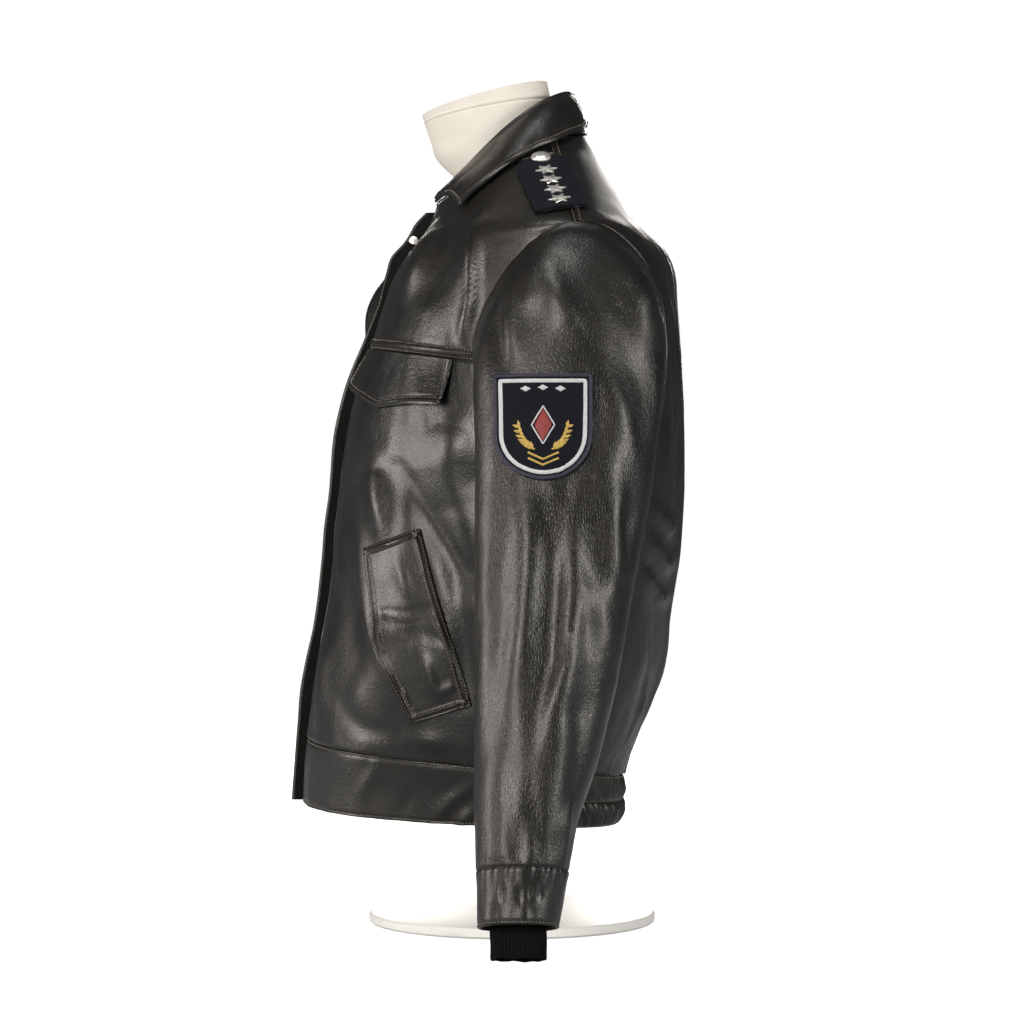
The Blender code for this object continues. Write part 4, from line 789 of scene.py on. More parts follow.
def soft_noise(x, y, z):
    """Smooth noise between about -1 and 1 with features 1 across, the same each run."""
    x, y, z = (np.asarray(v, float) for v in np.broadcast_arrays(x, y, z))
    cells = [np.floor(v).astype(np.int64) for v in (x, y, z)]
    parts = [v - cell for v, cell in zip((x, y, z), cells)]
    total = np.zeros(x.shape)
    for corner in np.ndindex(2, 2, 2):
        mixed = (cells[0] + corner[0]) * 73856093 ^ (cells[1] + corner[1]) * 19349663 ^ (cells[2] + corner[2]) * 83492791
        mixed = (mixed ^ (mixed >> 13)) * 1274126177 & 0x7FFFFFFF
        mixed = mixed ^ (mixed >> 15)
        slope, weight = np.zeros(x.shape), np.ones(x.shape)
        for axis, (part, at) in enumerate(zip(parts, corner)):
            slope = slope + (((mixed >> (8 * axis)) & 255) / 127.5 - 1) * (part - at)
            fade = part**3 * (part * (part * 6 - 15) + 10)
            weight = weight * (fade if at else 1 - fade)
        total += slope * weight
    return total * 1.4


def crumple(points, seed, depth=1.0, stretch=0.42):
    """Small uneven waves of worn leather at three sizes, stretched up and down."""
    x, y, z = np.moveaxis(points, -1, 0)
    out = np.zeros(points.shape[:2])
    for scale, height in ((17.0, 0.0008), (42.0, 0.0007), (120.0, 0.00026)):
        out += soft_noise(x * scale + seed, y * scale, z * scale * stretch) * height
    return out * depth


def ripples(along, distance, seed, pitch, height, fade):
    """Short puckers that leave a gathered seam and fade away from it."""
    return soft_noise(along / pitch, seed, distance / (pitch * 5)) * height * np.exp(-distance / fade)


def edge_form(distance, kind):
    """The edge of a piece: rolled down at a seam, or stitched, or folded over at an open edge."""
    rolled = -0.0013 * np.exp(-((distance / 0.0022) ** 2))
    if kind == "seam":
        return rolled
    if kind == "head":
        return rolled * 1.2
    offset = STITCHED[kind]
    form = rolled.copy()
    for place in offset:
        form -= 0.0010 * np.exp(-(((distance - place) / 0.0010) ** 2))
    start = 0.0
    for place in offset:
        form += 0.0010 * np.exp(-(((distance - (start + place) / 2) / ((place - start) * 0.36)) ** 2))
        start = place
    return form - 0.0005 * ease(distance - offset[-1], 0.0015)


def edged(points, kinds, closed=False):
    """Height of the edge forms over a grid: kinds names the form of each edge that has one."""
    total = np.zeros(points.shape[:2])
    near_left, near_right = walked(points, 1)
    near_low, near_high = walked(points, 0)
    for edge, distance in (
        ("left", near_left), ("right", near_right), ("low", near_low), ("high", near_high)
    ):
        if edge in kinds and not (closed and edge in ("left", "right")):
            form = edge_form(distance, kinds[edge])
            total = np.where(np.abs(form) > np.abs(total), form, total)
    return total


def near_edges(points, names):
    """Distance to the nearest of the named edges."""
    left, right = walked(points, 1)
    low, high = walked(points, 0)
    table = {"left": left, "right": right, "low": low, "high": high}
    return np.minimum.reduce([table[name] for name in names])


def ease(distance, reach):
    t = np.clip(distance / reach, 0, 1)
    return t * t * (3 - 2 * t)


# Meshes


def grid_faces(rows, columns, first, closed, flip):
    row, place = np.meshgrid(
        np.arange(rows - 1), np.arange(columns if closed else columns - 1), indexing="ij"
    )
    after = (place + 1) % columns
    faces = np.stack(
        [
            row * columns + place, row * columns + after, (row + 1) * columns + after,
            (row + 1) * columns + place
        ], -1
    )
    faces = faces.reshape(-1, 4) + first
    return faces[:, ::-1] if flip else faces


def cloth(name, outer, inner, material, node, closed=False, mirror=False):
    """A closed cloth wall between two grids, with a UV map in metres over it."""
    rows, columns = outer.shape[:2]
    count = rows * columns
    points = np.concatenate([outer.reshape(-1, 3), inner.reshape(-1, 3)])
    faces = [grid_faces(rows, columns, 0, closed, False), grid_faces(rows, columns, count, closed, True)]
    place = np.arange(columns if closed else columns - 1)
    after = (place + 1) % columns
    top = (rows - 1) * columns
    faces.append(np.stack([after, place, count + place, count + after], -1))
    faces.append(np.stack([top + place, top + after, count + top + after, count + top + place], -1))
    if not closed:
        near = np.arange(rows - 1) * columns
        far = near + columns
        faces.append(np.stack([near, far, count + far, count + near], -1))
        near, far = near + columns - 1, far + columns - 1
        faces.append(np.stack([far, near, count + near, count + far], -1))
    faces = np.concatenate(faces)
    if mirror:
        points = points * np.array([-1, 1, 1])
    middle = outer[rows // 2, columns // 2] - inner[rows // 2, columns // 2]
    ahead = outer[rows // 2, (columns // 2 + 1) % columns] - outer[rows // 2, columns // 2]
    above = outer[rows // 2 + (1 if rows > 2 else 0), columns // 2] - outer[rows // 2 - 1, columns // 2]
    if (np.cross(ahead, above) @ middle < 0) != mirror:
        faces = faces[:, ::-1]
    piece = solid_piece(name, points, faces, material, node)
    paint_sizes(piece, outer, columns, closed)
    around = np.concatenate([outer, outer[:, :1]], axis=1) if closed else outer
    width = float(walked(around, 1)[0][:, -1].max())
    length = float(walked(around, 0)[0][-1].max())
    return piece


def paint_sizes(piece, outer, columns, closed):
    """A UV map in metres over the cloth, so that ribs, weaves and satin follow it."""
    around = np.concatenate([outer, outer[:, :1]], axis=1) if closed else outer
    across = walked(around, 1)[0][:, :columns] if not closed else walked(around, 1)[0][:, :-1]
    along = walked(outer, 0)[0]
    flat = np.stack([across, along], -1).reshape(-1, 2)
    flat = np.concatenate([flat, flat])
    layer = piece.data.uv_layers.new(name="cloth")
    corners = np.empty(len(piece.data.loops), dtype=np.int32)
    piece.data.loops.foreach_get("vertex_index", corners)
    layer.data.foreach_set("uv", flat[corners].astype(np.float32).ravel())


def solid_piece(name, points, faces, material, node, smooth=40, outward=False):
    """A mesh piece that rides on the part; outward turns the faces of loose threads outward."""
    mesh = bpy.data.meshes.new(name)
    mesh.from_pydata(np.asarray(points).tolist(), [], [list(map(int, face)) for face in faces])
    if outward:
        made = bmesh.new()
        made.from_mesh(mesh)
        bmesh.ops.recalc_face_normals(made, faces=made.faces)
        made.to_mesh(mesh)
        made.free()
    else:
        mesh.validate()
    mesh.shade_smooth()
    if smooth:
        mesh.set_sharp_from_angle(angle=math.radians(smooth))
    piece = bpy.data.objects.new(name, mesh)
    bpy.context.scene.collection.objects.link(piece)
    mesh.materials.append(material)
    if node:
        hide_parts(*([node] if isinstance(node, str) else node))
    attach(piece, "root")
    return piece


def skin_tree(*names):
    """A search tree over the outer faces of these fine panels, for landing pieces on them."""
    points, faces = [], []
    for name in names:
        grid = FINE_GRIDS[name]
        rows, columns = grid.shape[:2]
        faces += grid_faces(rows, columns, len(points), False, False).tolist()
        points += [Vector(point) for point in grid.reshape(-1, 3)]
    return BVHTree.FromPolygons(points, faces)


def landed(tree, start, direction):
    """Where a ray meets the skin; one that slips through a seam is sent again close beside it."""
    for offset in ((0, 0, 0), (0.0005, 0.0005, 0.0005), (-0.0005, -0.0005, -0.0005)):
        place, normal, _, _ = tree.ray_cast(Vector(start) + Vector(offset), Vector(direction), REACH)
        if place is not None:
            normal = np.array(normal)
            return np.array(place) - np.array(offset), normal if normal @ np.array(direction) < 0 else -normal
    raise ValueError(f"nothing under {tuple(start)}")


def laid_grid(tree, starts, direction, lift):
    """Points of a grid landed on a surface and moved out, with smoothed directions."""
    points, normals = np.empty(starts.shape), np.empty(starts.shape)
    for place in np.ndindex(starts.shape[:2]):
        points[place], normals[place] = landed(tree, starts[place], direction)
    for _ in range(2):
        padded = np.pad(normals, ((1, 1), (1, 1), (0, 0)), mode="edge")
        normals = unit(
            padded[:-2, 1:-1] + padded[2:, 1:-1] + padded[1:-1, :-2] + padded[1:-1, 2:] + normals
        )
    return points + normals * np.broadcast_to(lift, starts.shape[:2])[..., None], normals


# Stitching


def edge_track(points, normals, edge, distance):
    """The line at this distance from one edge of a grid, with the surface's direction along it."""
    if edge in ("low", "high"):
        points, normals = points.transpose(1, 0, 2), normals.transpose(1, 0, 2)
        edge = "left" if edge == "low" else "right"
    first, last = walked(points, 1)
    away = first if edge == "left" else last
    track, facing = [], []
    for row in range(len(points)):
        order = np.argsort(away[row])
        places = away[row][order]
        track.append([np.interp(distance, places, points[row][order][:, axis]) for axis in range(3)])
        facing.append([np.interp(distance, places, normals[row][order][:, axis]) for axis in range(3)])
    return np.array(track), np.array(facing)


def add_stitches(group, track, facing, trim=0.0, mirror=False):
    """Stitches along a line, kept under the name of the group that they are made in."""
    pitch, size = SIZES().stitch_pitch, SIZES().stitch_length
    steps = np.linalg.norm(np.diff(track, axis=0), axis=1)
    place = np.concatenate([[0], np.cumsum(steps)])
    total = place[-1] - 2 * trim
    count = max(1, int(total / pitch))
    middles = trim + (np.arange(count) + 0.5) * total / count
    flip = np.array([-1, 1, 1]) if mirror else np.array([1, 1, 1])
    for middle in middles:
        ends = [
            np.array([np.interp(middle + s * size / 2, place, track[:, axis]) for axis in range(3)]) for s in (-1, 1)
        ]
        out = unit(np.array([np.interp(middle, place, facing[:, axis]) for axis in range(3)]))
        STITCHES.setdefault(group, []).append((ends[0] * flip, ends[1] * flip, out * flip))


def stitched_edge(group, points, normals, edge, distances, trim=0.002, mirror=False):
    for distance in distances:
        track, facing = edge_track(points, normals, edge, distance)
        add_stitches(group, track, facing, trim, mirror)


def build_stitches(group, material):
    """Each stitch is a small lens of thread that dips into the leather at both ends."""
    points, faces = [], []
    radius = THREAD_RADIUS
    for start, end, out in STITCHES[group]:
        run = end - start
        side = unit(np.cross(run, out)) * radius
        first = len(points)
        points += [start - out * 0.0003, end - out * 0.0003]
        for part in (0.28, 0.72):
            centre = start + run * part + out * 0.00004
            points += [centre + side, centre + out * radius * 0.9, centre - side, centre - out * radius]
        for number in range(4):
            after = (number + 1) % 4
            near, far = first + 2 + number, first + 2 + after
            faces += [[first, far, near], [near, far, far + 4, near + 4], [near + 4, far + 4, first + 1]]
    solid_piece(group, points, faces, material, None, smooth=0, outward=True)


# The torso


def panel(name, angles, heights, side, kinds, soft_edges, folds_by_x=False):
    """One torso panel in fine points, its wall, and the lines of its stitches."""
    points = torso(angles, heights, side)
    normals = torso_normal(angles, heights, side)
    frontness = np.clip(0.5 - np.sin(angles) * 2.2, 0, 1)
    across = points[..., 0] if folds_by_x else points[..., 1]
    shift = (0.0, 0.0) if side == LEFT or folds_by_x else RIGHT_SHIFT
    folds, calm = (FINE_BACK, 1 - frontness) if folds_by_x else (FINE_FRONT, frontness)
    depth = path_folds(across, heights, folds, shift, SIZES().fold_depth) * calm
    depth += crumple(points, 3.0 if side == LEFT else 11.0, SIZES().crumple_depth)
    near = near_edges(points, soft_edges)
    depth *= 0.2 + 0.8 * ease(near, 0.018)
    low = np.clip((0.705 - heights) / 0.03, 0.15, 1)
    depth = np.where(depth < 0, depth * np.clip((0.69 - heights) / 0.06, 0.25, 1), depth * low)
    depth += ripples(heights, near, 5.0 * side, 0.014, SEAM_PUCKER, 0.012)
    if folds_by_x:
        above = walked(points, 0)[0]
        depth += ripples(points[..., 0], above, 2.5, 0.0095, 0.0042, 0.020) * ease(near, 0.03)
    FINE_GRIDS[name] = points + normals * depth[..., None]
    depth += edged(points, kinds)
    return trim_grid(points + normals * depth[..., None]), normals


def trim_grid(points):
    """The seam's small gap, taken off all four edges."""
    points = points.copy()
    points[:, 0] += unit(points[:, 1] - points[:, 0]) * SEAM_TRIM
    points[:, -1] += unit(points[:, -2] - points[:, -1]) * SEAM_TRIM
    points[0] += unit(points[1] - points[0]) * SEAM_TRIM
    points[-1] += unit(points[-2] - points[-1]) * SEAM_TRIM
    return points


def make_fronts():
    leather = MATERIALS["leather"]
    lower = LOWER_STEPS * clustered(0.40, 0.0046, (SIDE_STEPS / LOWER_STEPS,))
    upper = YOKE_STEPS * clustered(0.20, 0.0046, (YOKE_ARM_STEPS / YOKE_STEPS,))
    across = clustered(0.30, 0.0048)
    for word, side in SIDES.items():
        angles, heights = lower_front_rows(lower, across)
        kinds = {"left": "turned", "right": "seam", "low": "seam", "high": "seam"}
        outer, normals = panel(f"front_{word}", angles, heights, side, kinds, ("right",))
        name = f"lower_front_{word}"
        thick = SIZES().leather
        cloth(
            name, outer, outer - normals * thick, leather, f"front_{word}",
        )
        stitched_edge("stitching_front", outer, normals, "left", (0.0030,))
        angles, heights = yoke_rows(upper, across)
        kinds = {"left": "turned", "right": "seam", "low": "welt", "high": "seam"}
        outer, normals = panel(f"yoke_{word}", angles, heights, side, kinds, ("right",))
        name = f"front_yoke_{word}"
        cloth(
            name, outer, outer - normals * thick, leather, f"yoke_{word}",
        )
        stitched_edge("stitching_yokes", outer, normals, "low", STITCHED["welt"])


def make_back():
    steps = BACK_STEPS * clustered(
        0.66, 0.0050, (SIDE_STEPS / BACK_STEPS, (SIDE_STEPS + BACK_ARM_STEPS) / BACK_STEPS)
    )
    angles, heights = back_rows(steps, clustered(0.55, 0.0054))
    kinds = {"left": "topstitch", "right": "topstitch", "low": "seam", "high": "seam"}
    outer, normals = panel("back", angles, heights, LEFT, kinds, ("left", "right"), folds_by_x=True)
    thick = SIZES().leather
    cloth(
        "back_panel", outer, outer - normals * thick, MATERIALS["leather"], "back",
    )
    for edge in ("left", "right"):
        stitched_edge("stitching_back", outer, normals, edge, STITCHED["topstitch"])


def make_sleeves():
    """Two-piece sleeves, with a ridge at the head and creases that follow the arm."""
    front_seam = math.pi + (YOKE_PSI - math.pi) * 3 / 5
    back_seam = -0.6 * math.pi
    rings = LAST_RING * clustered(0.62, 0.0046)
    parts = {
        "upper_sleeve": (front_seam, back_seam, 0.27, ("topstitch", "seam")),
        "under_sleeve": (back_seam, front_seam - 2 * math.pi, 0.15, ("seam", "seam")),
    }
    for name, (start, end, width, sides) in parts.items():
        turns = start + (end - start) * clustered(width, 0.0046)
        psi, ring = np.meshgrid(turns, rings)
        base, normals = sleeve(psi, ring), sleeve_normal(psi, ring)
        facing = 0.35 + 0.65 * np.clip(np.cos(psi) + 0.5, 0, 1)
        calm = 0.62 + 0.38 * np.clip((base[..., 2] - 0.20) / 0.20, 0, 1)
        for word, side in SIDES.items():
            shift = (0.0, 0.0) if side == LEFT else RIGHT_SLEEVE_SHIFT
            depth = path_folds(
                base[..., 1], base[..., 2], FINE_SLEEVE, shift, SIZES().fold_depth
            ) * facing * calm
            depth += crumple(base, 21.0 if side == LEFT else 33.0, SIZES().crumple_depth * 1.1)
            from_head, from_cuff = walked(base, 0)
            depth *= ease(from_head, 0.020) * (0.35 + 0.65 * ease(from_cuff, 0.012))
            depth += HEAD_RIDGE * np.exp(-(((from_head - 0.0055) / 0.0040) ** 2)) * facing
            depth += ripples(psi * 0.09, from_head, 7.0 * side, 0.0105, HEAD_PUCKER, 0.020) * facing
            depth += ripples(psi * 0.05, from_cuff, 9.0 * side, 0.0085, HEAD_PUCKER, 0.014)
            kinds = {"left": sides[0], "right": sides[1], "low": "head", "high": "seam"}
            if side == LEFT:
                FINE_GRIDS[name] = base + normals * depth[..., None]
            depth += edged(base, kinds)
            outer = trim_grid(base + normals * depth[..., None])
            inner = outer - normals * SIZES().leather
            mirror = side == RIGHT
            cloth(f"{name}_cover_{word}", outer, inner, MATERIALS["sleeve leather"], f"{name}_{word}",
                  mirror=mirror)
            if name == "upper_sleeve":
                stitched_edge(
                    "stitching_sleeves", outer, normals, "left", STITCHED["topstitch"], mirror=mirror
                )


def make_cuffs():
    turns = np.linspace(0, 2 * math.pi, 145)[:-1]
    psi, share = np.meshgrid(turns, clustered(0.052, 0.0022))
    base = leather_cuff(psi, share)
    normals = grid_normal(leather_cuff, psi, share)
    facing = np.clip(np.cos(psi) * 2 + 0.6, 0, 1)
    from_top, from_rim = walked(base, 0)
    for word, side in SIDES.items():
        shift = (0.0, 0.0) if side == LEFT else (0.004, 0.0)
        depth = path_folds(base[..., 1], base[..., 2], CUFF_GATHERS, shift) * facing
        depth += crumple(base, 41.0 + side, SIZES().crumple_depth * 0.7)
        depth += ripples(psi * 0.045, from_top, 13.0 * side, 0.0065, 0.0026, 0.010)
        depth += edged(base, {"low": "seam", "high": "rim"}, closed=True)
        outer = base + normals * depth[..., None]
        outer[0] += unit(outer[1] - outer[0]) * SEAM_TRIM * 2
        inner = outer - normals * SIZES().leather
        tucked = outer[:1] - normals[:1] * TUCK_IN + np.array([0, 0, TUCK_UP])
        outer = np.concatenate([tucked, outer[:1] - normals[:1] * TUCK_IN * 0.75, outer])
        inner = np.concatenate(
            [tucked - normals[:1] * 0.0008, inner[:1] - normals[:1] * TUCK_IN * 0.75, inner]
        )
        normals_all = np.concatenate([normals[:1], normals[:1], normals])
        mirror = side == RIGHT
        cloth(f"leather_cuff_{word}", outer, inner, MATERIALS["leather"], f"cuff_{word}",
              closed=True, mirror=mirror)
        around = np.concatenate([outer, outer[:, :1]], axis=1)
        facing_all = np.concatenate([normals_all, normals_all[:, :1]], axis=1)
        stitched_edge("stitching_cuffs", around, facing_all, "high", STITCHED["rim"], mirror=mirror)


def make_knit_cuffs():
    """Rib knit: rounded ribs that run up the wrist, with a wavy cast-off edge."""
    turns = np.linspace(0, 2 * math.pi, FINE_RIBS * 6 + 1)[:-1]
    psi, share = np.meshgrid(turns, np.concatenate([[1.0, 0.9, 0.8], np.linspace(0.72, 0.0, 20)]))
    for word, side in SIDES.items():
        lean = soft_noise(np.cos(psi) * 2.2, np.sin(psi) * 2.2, share * 2 + side)
        rib = 0.5 + 0.5 * np.cos(FINE_RIBS * psi + lean * 1.3)
        low = np.clip(1 - share * 2.2, 0, 1)
        lift = RIB_HEIGHT * (rib - 1) + lean * 0.0011 * (1 - share)
        outer = knit_cuff(psi, share, lift)
        outer[..., 2] += low * lean * 0.0016
        inner = knit_cuff(psi, share, np.full(psi.shape, -KNIT_WALL) + lean * 0.0011 * (1 - share))
        inner[..., 2] += low * lean * 0.0016
        outer[-1] += (inner[-1] - outer[-1]) * 0.22
        cloth(f"rib_cuff_{word}", outer[::-1], inner[::-1], MATERIALS["knit"], f"knit_cuff_{word}",
              closed=True, mirror=side == RIGHT)


def make_waistbands():
    across = clustered(0.30, 0.0046)
    shares = clustered(0.056, 0.0040)
    for word, side in SIDES.items():
        rows = []
        for share in shares:
            front = HEM_FRONT + (BAND_FRONT - SEAM_GAP - HEM_FRONT) * share
            edge = HEM_SIDE + (BAND_SIDE - SEAM_GAP - HEM_SIDE) * share
            rows.append(fine_front_row(front, 0.0, edge, across))
        angles, heights = stacked(rows)
        points, normals = torso(angles, heights, side), torso_normal(angles, heights, side)
        depth = path_folds(
            points[..., 1], heights, FINE_BAND, (0.0, 0.0) if side == LEFT else RIGHT_SHIFT,
            SIZES().fold_depth
        )
        depth += crumple(points, 51.0 + side, SIZES().crumple_depth * 0.8)
        depth += ripples(points[..., 1], near_edges(points, ("low", "high")), 3.0, 0.0085, 0.0010, 0.012)
        kinds = {"left": "turned", "right": "seam", "low": "rim", "high": "rim"}
        depth += edged(points, kinds)
        outer = trim_grid(points + normals * depth[..., None])
        cloth(f"front_waistband_{word}", outer, outer - normals * SIZES().leather, MATERIALS["leather"],
              f"waistband_{word}")
        for edge in ("low", "high"):
            stitched_edge("stitching_waistband", outer, normals, edge, STITCHED["rim"])
    make_back_waistband()


def make_back_waistband():
    """Two elastic rows: the leather bunches into puffed pleats between three stitched lines."""
    count = PLEATS * 8 + 1
    even = np.linspace(0, 1, count)
    shares = np.linspace(0, 1, 33)
    outer, inner = [], []
    for share in shares:
        middle = HEM_BACK + (BAND_BACK - SEAM_GAP - HEM_BACK) * share
        edge = HEM_SIDE + (BAND_SIDE - SEAM_GAP - HEM_SIDE) * share
        angles, heights = fine_back_row(middle, 0.0, edge, even)
        base = bare_torso(angles, heights)
        out = grid_normal(bare_torso, angles, heights)
        out[:, 2] = 0
        half = share * 2 % 1 if 0 < share < 1 else 0.0
        row = 0 if share < 0.5 else 1
        puff = np.sin(np.pi * half) ** 0.6
        wander = soft_noise(even * 26, row * 7.0 + half * 0.9, 0.3)
        tall = 0.75 + 0.5 * soft_noise(even * 60, row * 5.0, 1.7)
        wave = 0.5 + 0.5 * np.cos(2 * np.pi * (even * PLEATS + wander * 0.9 + (half - 0.5) * 0.35))
        ends = np.clip(np.minimum(even, 1 - even) * PLEATS / 2, 0, 1)
        lift = PLEAT_HEIGHT * (puff * wave**0.8 * tall * 1.15 + 0.45 * puff - 0.5) * ends
        outer.append(base + out * lift[:, None])
        inner.append(base - out * (SIZES().leather + PLEAT_HEIGHT * 0.5 * ends)[:, None])
    outer, inner = trim_grid(np.array(outer)), trim_grid(np.array(inner))
    sewn, sewn_out = outer, np.broadcast_to(unit(outer - inner), outer.shape)
    tucked = inner[-1:] - sewn_out[-1:] * (TUCK_IN - SIZES().leather) + np.array([0, 0, TUCK_UP])
    shelf = inner[-1:] - sewn_out[-1:] * (TUCK_IN - SIZES().leather) * 0.75
    outer = np.concatenate([outer, shelf + sewn_out[-1:] * 0.0012, tucked + sewn_out[-1:] * 0.0012])
    inner = np.concatenate([inner, shelf, tucked])
    cloth("elastic_waistband", outer, inner, MATERIALS["leather"], "waistband_back")
    for row in (1, len(shares) // 2, len(shares) - 2):
        add_stitches("stitching_waistband", sewn[row], sewn_out[row], 0.004)


# The collar


def make_collar(body):
    front_shares, back_shares = np.linspace(0, 1, 44), np.linspace(0, 0.5, 44)[1:]
    front = fine_front_row(NECK_FRONT, 0.0, NECK_SIDE, front_shares)
    back = fine_back_row(NECK_BACK, 0.0, NECK_SIDE, back_shares)
    base = torso(np.concatenate([front[0], back[0]]), np.concatenate([front[1], back[1]]))
    place = np.concatenate([[0], np.cumsum(np.linalg.norm(np.diff(base, axis=0), axis=1))])
    along = clustered(place[-1], 0.0034)
    base = np.stack([np.interp(along * place[-1], place, base[:, axis]) for axis in range(3)], axis=-1)
    value = {name: column(COLLAR, COLLAR_COLUMNS, name, along) for name in COLLAR_COLUMNS[1:]}
    roll = np.stack([value["roll_x"], value["roll_y"], value["roll_z"]], axis=-1)
    above = np.stack([value["edge_x"], value["edge_y"], np.full(len(along), 0.9)], axis=-1)
    edge, edge_out = laid_grid(body, above[None], (0, 0, -1), 0.0)
    edge = edge[0] + edge_out[0] * value["lift"][:, None] + np.array([0, 0, 1]) * value["rise"][:, None]
    away = unit((edge - roll) * np.array([1, 1, 0]))
    base = base + np.array([0, 0, 2 * SEAM_GAP])
    middle = base * 0.5 + roll * 0.5 - away * 0.001
    rows = [base * (1 - part) + middle * part for part in (0.0, 0.3, 0.65, 1.0)]
    turn_start = roll - away * COLLAR_ROLL - np.array([0, 0, COLLAR_ROLL])
    rows += [middle * (1 - part) + turn_start * part for part in (0.35, 0.7)]
    for turn in np.radians(np.linspace(180, 0, 13)):
        rise = np.array([0, 0, COLLAR_ROLL * (math.sin(turn) - 1)])
        rows.append(roll + away * COLLAR_ROLL * math.cos(turn) + rise)
    start = rows[-1]
    for part in np.concatenate([np.linspace(0.05, 0.86, 15), [0.90, 0.93, 0.955, 0.975, 0.99, 1.0]]):
        crown = COLLAR_CROWN * math.sin(math.pi * part)
        rows.append(start * (1 - part) + edge * part + crown * np.array([0, 0, 1]))
    half = np.array(rows)
    points = np.concatenate([half, half[:, ::-1][:, 1:] * np.array([-1, 1, 1])], axis=1)
    inward = unit(np.cross(np.gradient(points, axis=1), np.gradient(points, axis=0)))
    depth = crumple(points, 61.0, SIZES().crumple_depth * 0.8)
    depth += edged(points, {"left": "collar", "right": "collar", "high": "collar"})
    fall = np.clip((np.arange(len(points)) - 19) / 6, 0, 1)[:, None]
    outer = points - inward * (depth * (0.3 + 0.7 * fall))[..., None]
    cloth("turned_collar", outer, outer + inward * SIZES().leather, MATERIALS["leather"], "collar")
    lower = outer[19:]
    for edge in ("left", "right", "high"):
        stitched_edge("stitching_collar", lower, -inward[19:], edge, STITCHED["collar"], trim=0.006)


# Flaps and hand pockets


def make_flaps():
    shares = clustered(0.14, 0.0030, (0.20, 0.52, 0.80))
    places = [row[0] for row in FLAP_EDGE]
    drops = np.interp(shares, places, [row[1] for row in FLAP_EDGE])
    lifts = flowing(shares, places, [row[2] for row in FLAP_EDGE])
    seam_angles, seam_heights = yoke_rows([0.0], np.linspace(0, 1, 40))
    seam_x = bare_torso(seam_angles[0], seam_heights[0])[:, 0]
    downs = clustered(0.045, 0.0030)
    for word, side in SIDES.items():
        tree = skin_tree(f"front_{word}")
        down = np.broadcast_to(downs[:, None], (len(downs), len(shares)))
        x = FLAP_TOP_X[0] + (FLAP_TOP_X[1] - FLAP_TOP_X[0]) * shares
        x = x - FLAP_OVERHANG * down * np.clip(1 - shares / 0.3, 0, 1)
        height = np.interp(x, seam_x, seam_heights[0]) - FLAP_BELOW_SEAM - drops * down
        theta = angle_at_x(x, height)
        out = torso_normal(theta, height, side)
        above = torso(theta, height, side) + out * 0.03
        low = np.empty(above.shape)
        for place in np.ndindex(theta.shape):
            low[place] = landed(tree, above[place], -out[place])[0]
        low = low + out * (FLAP_LIFT + lifts * down**1.5)[..., None]
        outer = low + out * FLAP_THICK
        depth = crumple(outer, 71.0 + side, SIZES().crumple_depth * 0.5)
        depth += ripples(outer[..., 0], near_edges(outer, ("high",)), 4.0, 0.012, 0.0009, 0.010)
        depth += edged(outer, {"left": "flap", "right": "flap", "high": "flap"})
        outer = outer + out * depth[..., None]
        cloth(f"pocket_flap_{word}", outer, low, MATERIALS["leather"], f"flap_{word}")
        for edge in ("left", "right", "high"):
            stitched_edge("stitching_flaps", outer, out, edge, STITCHED["flap"], trim=0.007)


def make_hand_pockets():
    down, across = clustered(0.175, 0.0034), clustered(0.052, 0.0026)[None, :, None]
    places = np.linspace(0, 1, len(POCKET_FRONT_EDGE))
    for word, side in SIDES.items():
        front = np.stack([np.interp(down, places, [p[i] for p in POCKET_FRONT_EDGE]) for i in (0, 1)], -1)
        back = np.stack([np.interp(down, places, [p[i] for p in POCKET_BACK_EDGE]) for i in (0, 1)], -1)
        grid = front[:, None] * (1 - across) + back[:, None] * across
        tree = skin_tree(f"front_{word}")
        theta = angle_at_y(grid[..., 0], grid[..., 1])
        low, out = np.empty(theta.shape + (3,)), torso_normal(theta, grid[..., 1], side)
        above = torso(theta, grid[..., 1], side) + out * 0.03
        for place in np.ndindex(theta.shape):
            low[place] = landed(tree, above[place], -out[place])[0] + out[place] * POCKET_LIFT
        outer = low + out * SIZES().leather
        depth = path_folds(grid[..., 0], grid[..., 1], POCKET_CREASES, strength=SIZES().fold_depth)
        depth += crumple(outer, 81.0 + side, SIZES().crumple_depth * 0.7)
        depth *= 0.15 + 0.85 * ease(near_edges(outer, ("left", "right", "low", "high")), 0.010)
        kinds = {edge: "double" for edge in ("left", "right", "low", "high")}
        depth += edged(outer, kinds)
        depth = np.maximum(depth, -0.0016)
        outer = outer + out * depth[..., None]
        cloth(f"welt_pocket_{word}", outer, low, MATERIALS["leather"], f"hand_pocket_{word}")
        for edge in ("left", "right", "low", "high"):
            stitched_edge("stitching_pockets", outer, out, edge, STITCHED["double"], trim=0.003)


# The front edge


